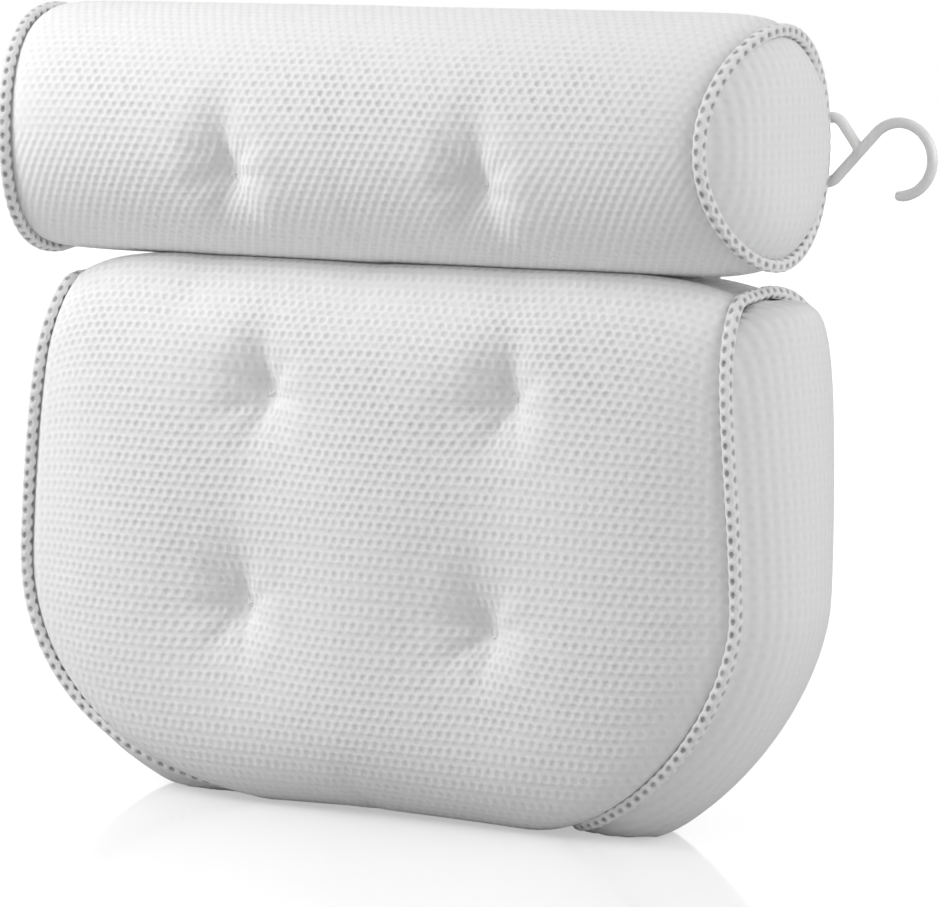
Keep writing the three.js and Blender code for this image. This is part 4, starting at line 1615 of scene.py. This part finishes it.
    def sew_ends(self) -> None:
        """Makes the two side panels."""
        for side in Side:
            points = self.ends[side]
            down = run_along(self.form.seam(self.angles, side)[:, [0, 2]])
            chart = charted(side.value * points[..., 1], -down[:, None])
            points, chart = hemmed(refine(points), refine(chart), (1,))
            if side is Side.LEFT:
                points, chart = points[::-1], chart[::-1]
            openness = np.full(points.shape[:2], self.side_openness)
            wale = chart[..., 0] / self.sizes.pitch
            name, node = f"side_mesh_{side.word}", f"end_panel_{side.word}"
            self.knit(name, node, 0.8, points, chart, openness, wale)

    def seam_frame(self, side: Side) -> tuple[Array, Array]:
        """Returns the side seam's points and the direction in which its binding stands off.

        Args:
            side: the side that the seam is on.

        Returns:
            The points, and a direction of length one for each.
        """
        column = 0 if side is Side.LEFT else -1
        seam = self.wrap[column]
        middle = self.wrap.reshape(-1, 3).mean(0)
        cover = grid_normals(np.concatenate([self.wrap, self.wrap[:, :2]], axis=1))[column, :-2]
        sheet = grid_normals(self.ends[side])
        rim = np.concatenate([sheet[:, 1], sheet[-2:0:-1, -2]])
        outward = np.zeros_like(seam)
        for normals in (cover, rim):
            outward += normals * np.sign(np.sum(normals * (seam - middle), -1, keepdims=True))
        for _ in range(4):
            outward = (np.roll(outward, 1, 0) + 2 * outward + np.roll(outward, -1, 0)) / 4
        return seam, unit(outward)

    def sew_bindings(self) -> None:
        """Makes a folded mesh binding round each side seam."""
        sunk, ridge, lap, steps = 0.3, 0.35, 6, 24
        radius = self.binding_radius - ridge
        girth = FULL_TURN * radius
        turns = np.arange(-steps // 3, steps + steps // 3 + 1) * FULL_TURN / steps
        for side in Side:
            seam, outward = self.seam_frame(side)
            path = seam + outward * (self.binding_radius - sunk)
            aside = np.cross(unit(np.roll(path, -1, 0) - np.roll(path, 1, 0)), outward)
            order = np.arange(-lap, len(path) + lap + 1)
            place = order % len(path)
            run = run_along(np.concatenate([path, path[:1]]))
            total = run[-1]
            length = run[place] + total * (order // len(path))
            points = path[place][:, None] + around(turns, outward[place], aside[place]) * radius
            chart = charted(length[:, None], -turns / FULL_TURN * girth)
            cells = round(total / self.binding_pitch)
            sizes = NetSizes(total / cells, girth / 4, ridge, 0.3, 0.85, 0.5, 0.76)
            name = f"{self.word}_edge_binding_{side.word}"
            surface = cloth_surface(name + "_surface", points[::-1], chart[::-1])
            keep = Region((0.01, -girth), (total + 0.01, 0.0))
            region = Region((0.0, -girth), (total, 0.0))
            piece = self.net.lay(name, surface, region, sizes, BOUND_MESH, keep)
            settle(piece, BOUND_MESH, self.word, f"{self.word}_binding_{side.word}")

    def fill(self) -> None:
        """Makes the fibre filling a little inside the skin."""
        skin, _, faces = self.joined()
        mesh = make_mesh(f"{self.word}_fibre_filling", skin, faces)
        turn_outwards(mesh, weld=False, inset=self.filling_inset)
        piece = make_object(mesh.name, mesh, FIBRE)
        settle(piece, FIBRE, self.word, f"{self.word}_filling")

    def sew_tufts(self) -> None:
        """Makes each tuft's thread, with a crossed stitch at the front and a knot at the back."""
        stitch, stitch_rise, sunk, knot, knot_rise, thin = 3.2, 1.6, 0.6, 3.0, 1.5, 0.6
        back_way = np.array([0.0, 1.0, 0.0])
        t = np.linspace(-1, 1, 9)[:, None]
        bow = back_way * (1 - t**2)
        for tuft in self.form.tufts:
            tip, back = (self.nearest(grid, tuft) for grid in (self.front, self.behind))
            strands = []
            for turn in (0.5, 2.2):
                reach = t * np.array([math.cos(turn), 0.0, math.sin(turn)])
                strands.append(tip + reach * stitch - stitch_rise * bow + sunk * back_way)
                strands.append(back + reach * knot + knot_rise * bow)
            strands.append(np.linspace(tip, back, 8))
            parts = []
            for strand in strands:
                radii = np.full(len(strand), self.thread_radius)
                radii[[0, -1]] *= thin
                parts.append(sweep(strand, radii, 8, False))
            name, node = (f"{self.word}_tuft_{word}_{tuft.word}" for word in ("stitch", "thread"))
            make_piece(name, parts, THREAD, self.word, node, weld=False)

    def nearest(self, grid: Array, tuft: Tuft) -> Array:
        """Returns the grid point nearest to a tuft, seen from the front."""
        away = tuft.offsets(grid)[2]
        return grid[np.unravel_index(np.argmin(away), away.shape)]

    def back_at(self, x: Array, z: float) -> Array:
        """Returns how far back the skin reaches at each x of one height.

        Args:
            x: places across.
            z: the height.

        Returns:
            A y for each x, in millimetres.
        """
        reach = 6.0
        found = []
        for place in x:
            away = np.hypot(self.behind[..., 0] - place, self.behind[..., 2] - z)
            found.append(self.behind[..., 1][away < reach].max())
        return np.array(found)


# Suction cups and eyelets


@dataclass
class SuctionCup:
    """A clear cup with a head inside the cover, a neck through an eyelet and a pull tab."""

    node: str
    body: str
    panel: str
    radius: float = 21.0
    shoulder_radius: float = 7.0
    neck_radius: float = 4.5
    head_radius: float = 6.6
    head_y: float = -7.3
    head_top: float = -4.3
    head_round: float = 0.8
    fillet: float = 0.6
    seat: float = 2.2
    shoulder: float = 4.7
    rim_y: float = 14.2
    edge: float = 1.5
    rim_height: float = 0.4
    rim_round: float = 0.5
    lip: float = 1.6
    hollow: float = 3.4
    tab_width: float = 8.0
    tab_reach: float = 8.0
    tab_thickness: float = 1.8
    tab_round: float = 0.4
    tab_gap: float = 0.1
    tab_overlap: float = 2.2
    eyelet_radius: float = 8.5
    eyelet_play: float = 0.3
    eyelet_low: float = 0.3
    eyelet_high: float = 1.9
    eyelet_wall: float = 0.5
    steps: int = 64
    eyelet_steps: int = 48

    def build(self) -> None:
        """Makes the cup and its eyelet where their solids are."""
        low, high = solid_box(self.node)
        base = np.array([(low[0] + high[0]) / 2, high[1] - self.rim_y, high[2] - self.radius])
        self.cup(base)
        self.eyelet(base)

    def profile(self) -> Array:
        """Returns the bell's section, from the head's middle round to the hollow's middle.

        Returns:
            A radius and a y for each point.
        """
        turn = np.linspace(0, math.pi / 2, 14)
        dome_r = self.shoulder_radius + (self.radius - self.shoulder_radius) * np.sin(turn)
        dome_y = self.shoulder + (self.rim_y - self.edge - self.shoulder) * (1 - np.cos(turn))
        inner_r = np.linspace(self.radius - self.lip, 0, 14)
        inner_y = self.rim_y - self.hollow * (1 - (inner_r / (self.radius - self.lip)) ** 2)
        head, shoulder, fillet = self.head_radius, self.shoulder_radius, self.fillet
        points = [
            (0.0, self.head_y),
            (head - self.head_round, self.head_y),
            (head, self.head_y + self.head_round),
            (head, self.head_top - fillet),
            (head - fillet, self.head_top),
            (self.neck_radius, self.head_top),
            (self.neck_radius, self.seat),
            (shoulder - fillet, self.seat),
            (shoulder, self.seat + fillet),
            *zip(dome_r, dome_y),
            (self.radius, self.rim_y - self.rim_height),
            (self.radius - self.rim_round, self.rim_y),
            *zip(inner_r, inner_y),
        ]
        return np.array(points)

    def cup(self, base: Array) -> None:
        """Makes the bell with its pull tab.

        Args:
            base: the cup's own origin, on its axis.
        """
        outline = self.tab_outline()
        thick, soft = self.tab_thickness, self.tab_round
        y = self.rim_y - thick - self.tab_gap
        layers = []
        for height, shrink in ((0.0, soft), (soft, 0.0), (thick - soft, 0.0), (thick, soft)):
            ring = outline * (1 - shrink / self.tab_width)
            layers.append(base + np.insert(ring, 1, y + height, axis=1))
        # The first corner of each end face decides how it is cut into triangles
        *walls, under, over = tube_faces(len(layers), len(outline), False)
        tab = (np.concatenate(layers), [*walls, under[::-1], over[::-1]])
        parts = [lathe(self.profile(), base, self.steps), tab]
        make_piece(self.body + "_vinyl", parts, CLEAR_VINYL, self.body, self.node)

    def tab_outline(self) -> Array:
        """Returns the pull tab's outline from above, rounded at its outer end.

        Returns:
            Points of x and z about the axis.
        """
        half = self.tab_width / 2
        inner = self.tab_overlap - self.radius
        outer = half - self.radius - self.tab_reach
        turn = np.linspace(0, -math.pi, 12)
        tip = np.stack([half * np.cos(turn), outer + half * np.sin(turn)], axis=-1)
        return np.concatenate([[(half, inner)], tip, [(-half, inner)]])

    def eyelet(self, base: Array) -> None:
        """Makes the rounded ring that the cup's neck passes through.

        Args:
            base: the cup's own origin, on its axis.
        """
        hole, wall = self.neck_radius + self.eyelet_play, self.eyelet_wall
        middle, half = (hole + self.eyelet_radius) / 2, (self.eyelet_radius - hole) / 2
        low, high = self.eyelet_low, self.eyelet_high
        turn = np.linspace(0, math.pi, 9)
        rise = low + wall + (high - low - wall) * np.sin(turn)
        crown = np.stack([middle + half * np.cos(turn), rise], -1)
        profile = np.concatenate([[(hole, low), (self.eyelet_radius, low)], crown, [(hole, low)]])
        node = self.node.replace("_cup", "_eyelet")
        parts = [lathe(profile, base, self.eyelet_steps)]
        make_piece(self.body + "_eyelet_ring", parts, EYELET_PLASTIC, self.panel, node)


# Hook, webbing and hinge strip


@dataclass
class HangingHook:
    """A bent plastic rod with a pointed eye, and the webbing loop that holds the eye's bar."""

    roll: StuffedPanel
    rod_radius: float = 2.5
    rod_sides: int = 20
    eye_height: float = 29.5
    upper_shoulder: float = 11.3
    lower_shoulder: float = 8.0
    eye_reach: float = 22.1
    corner_radius: float = 3.6
    shank: float = 11.3
    shank_root: float = 9.0
    bend_radius: float = 16.5
    bend_turn: float = math.radians(233)
    webbing_width: float = 19.5
    webbing_tail: float = 17.0
    webbing_thickness: float = 1.2
    webbing_play: float = 0.4
    webbing_wrap: float = 0.9
    tail_root: float = 0.35
    skin_gap: float = 0.6
    layer_gap: float = 0.1
    stitch_share: float = 0.36

    def build(self) -> None:
        """Makes the hook and its webbing where their solids are."""
        low, high = solid_box("hanging_hook")
        loop_low, loop_high = solid_box("hook_webbing_loop")
        height = (loop_low[2] + loop_high[2]) / 2
        self.bar = np.array([low[0] + self.rod_radius, (low[1] + high[1]) / 2, height])
        self.hook()
        self.webbing()

    def eye_path(self) -> Array:
        """Returns the closed path of the pointed eye with rounded corners.

        Returns:
            Points about the middle of the eye's bar.
        """
        half = self.eye_height / 2
        lower = [(0, 0, -half), (self.lower_shoulder, 0, -half)]
        upper = [(self.upper_shoulder, 0, half), (0, 0, half)]
        corners = np.array([*lower, (self.eye_reach, 0, 0), *upper], float)
        path = []
        t = np.linspace(0, 1, 10)[:, None]
        for i, corner in enumerate(corners):
            before = corner + unit(corners[i - 1] - corner) * self.corner_radius
            following = corners[(i + 1) % len(corners)]
            after = corner + unit(following - corner) * self.corner_radius
            path.append(before * (1 - t) ** 2 + 2 * corner * t * (1 - t) + after * t**2)
            onward = following + unit(corner - following) * self.corner_radius
            path.append(after + (onward - after) * t[1:-1])
        return np.concatenate(path)

    def rod_path(self) -> Array:
        """Returns the open path that carries the eye's lower arm on along the shank and round the bend.

        Returns:
            Points about the middle of the eye's bar.
        """
        tip = np.array([self.eye_reach, 0, 0])
        heading = unit(tip - (self.lower_shoulder, 0, -self.eye_height / 2))
        start, bend_start = tip - heading * self.shank_root, tip + heading * self.shank
        across = np.array([heading[2], 0, -heading[0]])
        turn = np.linspace(0, self.bend_turn, 40)[:, None]
        centre = bend_start + across * self.bend_radius
        bend = centre - across * self.bend_radius * np.cos(turn) + heading * self.bend_radius * np.sin(turn)
        straight = start + (bend_start - start) * np.linspace(0, 1, 8)[:-1, None]
        return np.concatenate([straight, bend])

    def hook(self) -> None:
        """Makes the eye and the bent rod as one moulding with a rounded tip."""
        eye, path = self.eye_path(), self.rod_path()
        ahead = unit(path[-1] - path[-2])
        turn = np.linspace(0, math.pi / 2, 7)[2:, None]
        tip = path[-1] + ahead * self.rod_radius * (np.sin(turn) - 1)
        keep = len(path) - 2
        path = np.concatenate([path[:keep], tip])
        radii = np.full(len(path), self.rod_radius)
        root_taper, blunt = (0.8, 0.88, 0.96), 0.04
        radii[: len(root_taper)] *= root_taper
        radii[keep:] *= np.maximum(np.cos(turn[:, 0]), blunt)
        parts = [
            sweep(eye + self.bar, np.full(len(eye), self.rod_radius), self.rod_sides, True),
            sweep(path + self.bar, radii, self.rod_sides, False),
        ]
        make_piece("hook_moulding", parts, HOOK_PLASTIC, "hook", "hanging_hook")

    def webbing(self) -> None:
        """Makes the webbing folded round the eye's bar, its two tails sewn together on the back."""
        gap = self.webbing_thickness
        mid = self.rod_radius + self.webbing_play + gap / 2
        turn = np.linspace(-math.pi / 2, math.pi / 2 + self.webbing_wrap, 26)
        tail_x = np.linspace(-self.webbing_tail, -self.webbing_tail * self.tail_root, 8)
        sewn = self.roll.back_at(self.bar[0] + tail_x, self.bar[2]) - self.bar[1]
        sewn = sewn + self.skin_gap + gap / 2
        fold = np.stack([mid * np.cos(turn), mid * np.sin(turn)], -1)
        tails = [np.stack([tail_x, sewn + lift], -1) for lift in (0.0, gap)]
        route = np.concatenate([tails[0], fold, tails[1][::-1]])
        flow = run_along(route)
        fine = np.linspace(0, flow[-1], 70)
        route = [np.interp(fine, flow, route[:, k])[:, None] for k in range(2)]
        width = np.linspace(-self.webbing_width / 2, self.webbing_width / 2, 9)
        points = np.stack(np.broadcast_arrays(*route, width), axis=-1) + self.bar
        piece = ribbon("hook_webbing", points, charted(fine[:, None], width), gap - self.layer_gap)
        settle(piece, WEBBING, "roll", "hook_webbing_loop")
        box = np.array([(0, -1), (1, -1), (1, 1), (0, 1), (0, -1)], float)
        share = np.linspace(0, 4, 41)
        sewn_x = np.interp(share, range(5), tail_x[1] + (tail_x[-2] - tail_x[1]) * box[:, 0])
        outer_y = np.interp(sewn_x, tail_x, sewn) + gap * 1.5
        high = np.interp(share, range(5), self.stitch_share * self.webbing_width * box[:, 1])
        StitchRow().lay("webbing_stitches", np.stack([sewn_x, outer_y, high], -1) + self.bar, "roll")


@dataclass
class HingeStrip:
    """The fabric strip that joins the two backs, cut in at the ends of the line on which it bends."""

    roll: StuffedPanel
    cushion: StuffedPanel
    length: float = 330.0
    waist: float = 36.0
    hem: float = 4.0
    thickness: float = 1.6
    columns: int = 66
    blend_reach: float = 5.0

    def build(self) -> None:
        """Makes the strip across the hinge line, and its stitches."""
        low, high = solid_box("hinge_strip_lower")
        top_low, top_high = solid_box("hinge_strip_upper")
        x = np.linspace(-self.length / 2, self.length / 2, self.columns + 1)
        z = np.concatenate([np.linspace(low[2], high[2], 13), np.linspace(top_low[2], top_high[2], 13)])
        hinge_y = high[1] - self.thickness / 2
        lower = self.cushion.back_at(x, low[2]) + self.thickness
        upper = self.roll.back_at(x, top_high[2]) + self.thickness
        middle = (high[2] + top_low[2]) / 2
        points = np.empty((len(x), len(z), 3))
        for j, height in enumerate(z):
            sewn, end = (lower, low[2]) if height < middle else (upper, top_high[2])
            share = abs(height - middle) / abs(end - middle)
            points[:, j, 0] = x * (1 - 2 * self.waist / self.length * math.cos(share * math.pi / 2) ** 2)
            points[:, j, 1] = hinge_y + (sewn - hinge_y) * share
            points[:, j, 2] = height
        centre = points[self.columns // 2]
        run = run_along(centre)
        piece = ribbon("back_hinge_strip", points, charted(points[..., 0], run), self.thickness)
        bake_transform(piece)
        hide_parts("hinge_strip_lower", "hinge_strip_upper")
        LOG.info("%s: %.0f by %.1f mm", piece.name, self.length, run[-1])
        stitches = StitchRow()
        for body, edge, inner in (("cushion", 0, 1), ("roll", -1, -2)):
            share = self.hem / np.linalg.norm(centre[edge] - centre[inner])
            line = points[2:-2, edge] + (points[2:-2, inner] - points[2:-2, edge]) * share
            stitches.lay(f"{body}_strip_stitches", line + (0.0, self.thickness / 2, 0.0), body)


# Studio


def stand(name: str, data: bpy.types.ID, place: Vector, direction: Vector) -> Thing:
    """Puts a camera or a lamp in the scene and turns it in a direction.

    Args:
        name: its name.
        data: the camera or the lamp.
        place: where it stands, in metres.
        direction: where it looks.

    Returns:
        The new object.
    """
    thing = bpy.data.objects.new(name, data)
    thing.location = place
    thing.rotation_mode = "QUATERNION"
    thing.rotation_quaternion = direction.to_track_quat("-Z", "Y")
    bpy.context.scene.collection.objects.link(thing)
    return thing


@dataclass
class Studio:
    """Floor, light and camera."""

    azimuth: float = 32.14
    elevation: float = 6.24
    focal: float = 5000.0
    scale: float = 2.143
    target_z: float = 190.0
    offset: tuple[float, float] = (49.4, 51.6)
    picture_width: float = 938.0
    floor_half: float = 6000.0
    floor_grey: float = 0.54
    floor_glow: float = 0.46
    world_light: float = 0.38
    world_shown: float = 0.62

    def build(self) -> None:
        """Sets up everything round the pillow."""
        self.camera()
        self.floor()
        self.lights()
        self.world()
        bpy.context.scene.view_settings.view_transform = "Standard"

    def camera(self) -> None:
        """Places the camera at the photograph's angle."""
        a, e = math.radians(self.azimuth), math.radians(self.elevation)
        right = np.array([math.cos(a), math.sin(a), 0])
        back = np.array([math.sin(a) * math.cos(e), -math.cos(a) * math.cos(e), math.sin(e)])
        up = np.cross(back, right)
        target = np.array([0, 0, self.target_z])
        place = target + back * self.focal / self.scale
        aim = target + right * self.offset[0] / self.scale - up * self.offset[1] / self.scale
        lens = bpy.data.cameras.new("camera")
        lens.sensor_width = 36.0
        lens.lens = self.focal / self.picture_width * lens.sensor_width
        lens.clip_start, lens.clip_end = 0.05, 50.0
        bpy.context.scene.camera = stand("camera", lens, Vector(place) * MM, Vector(aim - place))

    def floor(self) -> None:
        """Lays a white floor that keeps the pillow's shadow and a soft reflection."""
        corners = [(-1, -1, 0), (1, -1, 0), (1, 1, 0), (-1, 1, 0)]
        points = np.array(corners, float) * self.floor_half - (0, 0, 0.2)
        made, sketch, shader = shaded("studio_floor")
        seen = sketch.get("ShaderNodeLightPath", output="Is Camera Ray")
        strength = sketch.math("MULTIPLY", seen, self.floor_glow)
        glow = {"Emission Color": (1, 1, 1, 1), "Emission Strength": strength}
        sketch.feed(shader, {"Base Color": (*(self.floor_grey,) * 3, 1), "Roughness": 0.1, **glow})
        ground = make_object("studio_floor", make_mesh("studio_floor", points, [(0, 1, 2, 3)]))
        ground.data.materials.append(made)

    def lights(self) -> None:
        """Hangs a soft key at the upper left, fills at the right and low down, and a top light."""
        target = Vector((0.0, 0.0, 0.19))
        for name, place, size, power in (
            ("key", (-0.85, -0.72, 0.95), 0.7, 11.2),
            ("fill", (1.9, -1.6, 0.9), 1.8, 1.2),
            ("side", (1.75, 0.15, 0.9), 1.4, 12.5),
            ("low", (-1.1, -2.2, 0.25), 1.4, 0.8),
            ("top", (0.0, 0.4, 2.4), 2.0, 2.0),
        ):
            lamp = bpy.data.lights.new(name, "AREA")
            lamp.size, lamp.energy = size, power
            stand(name, lamp, Vector(place), target - Vector(place))

    def world(self) -> None:
        """Surrounds the studio with white that lights the pillow only a little."""
        world = bpy.data.worlds.new("studio")
        bpy.context.scene.world = world
        world.use_nodes = True
        sketch = Sketch(world.node_tree)
        path = sketch.add("ShaderNodeLightPath").outputs
        shown = sketch.math("MAXIMUM", path["Is Camera Ray"], path["Is Glossy Ray"])
        shown = sketch.math("MAXIMUM", shown, path["Is Transmission Ray"])
        strength = sketch.math("ADD", sketch.math("MULTIPLY", shown, self.world_shown), self.world_light)
        sketch.feed(world.node_tree.nodes["Background"], {"Color": (1, 1, 1, 1), "Strength": strength})


def cup_words(*rows: str) -> tuple[str, ...]:
    """Returns the names of the cups in the named rows."""
    return tuple(f"{row}_{side.word}_cup" for row in rows for side in Side)


def main() -> None:
    """Builds the pillow's classes in order."""
    logging.basicConfig(level=logging.INFO, format="%(name)s %(message)s")
    Studio().build()
    net = OpenMesh()
    cushion_form = CushionForm(
        (
            Tuft("upper_left", -52.0, 195.5, phase=0.4),
            Tuft("upper_right", 80.0, 198.5, phase=1.9),
            Tuft("lower_left", -66.0, 94.0, phase=3.1),
            Tuft("lower_right", 68.0, 93.0, phase=5.0),
        ),
        floor=0.6,
        ceiling=255.0,
        bulge=22.5,
        fullness=4.0,
        top_power=7.0,
        centre_x=0.5,
    )
    roll_form = RollForm(
        (
            Tuft("left", -66.0, 298.0, depth=13.5, phase=1.1),
            Tuft("right", 69.0, 296.5, depth=13.5, phase=2.6),
        ),
        floor=255.3,
        ceiling=400.0,
        bulge=19.0,
        fullness=1.0,
        crown_power=12.0,
        top_power=24.0,
        dome_power=2.0,
        centre_x=-3.5,
    )
    roll_cups, cushion_cups = cup_words("roll"), cup_words("lower", "upper")
    cushion_nodes = tuple("cushion_" + word for word in cushion_cups)
    roll = StuffedPanel("roll", roll_form, net, cups=roll_cups, chevron=1.0)
    roll.build()
    cushion = StuffedPanel("cushion", cushion_form, net, cups=cushion_nodes, lid=roll)
    cushion.build()
    HingeStrip(roll, cushion).build()
    HangingHook(roll).build()
    for node, body in zip(cushion_nodes, cushion_cups):
        SuctionCup(node, body, "cushion").build()
    for node in roll_cups:
        SuctionCup(node, node, "roll").build()


if __name__ == "__main__":
    main()
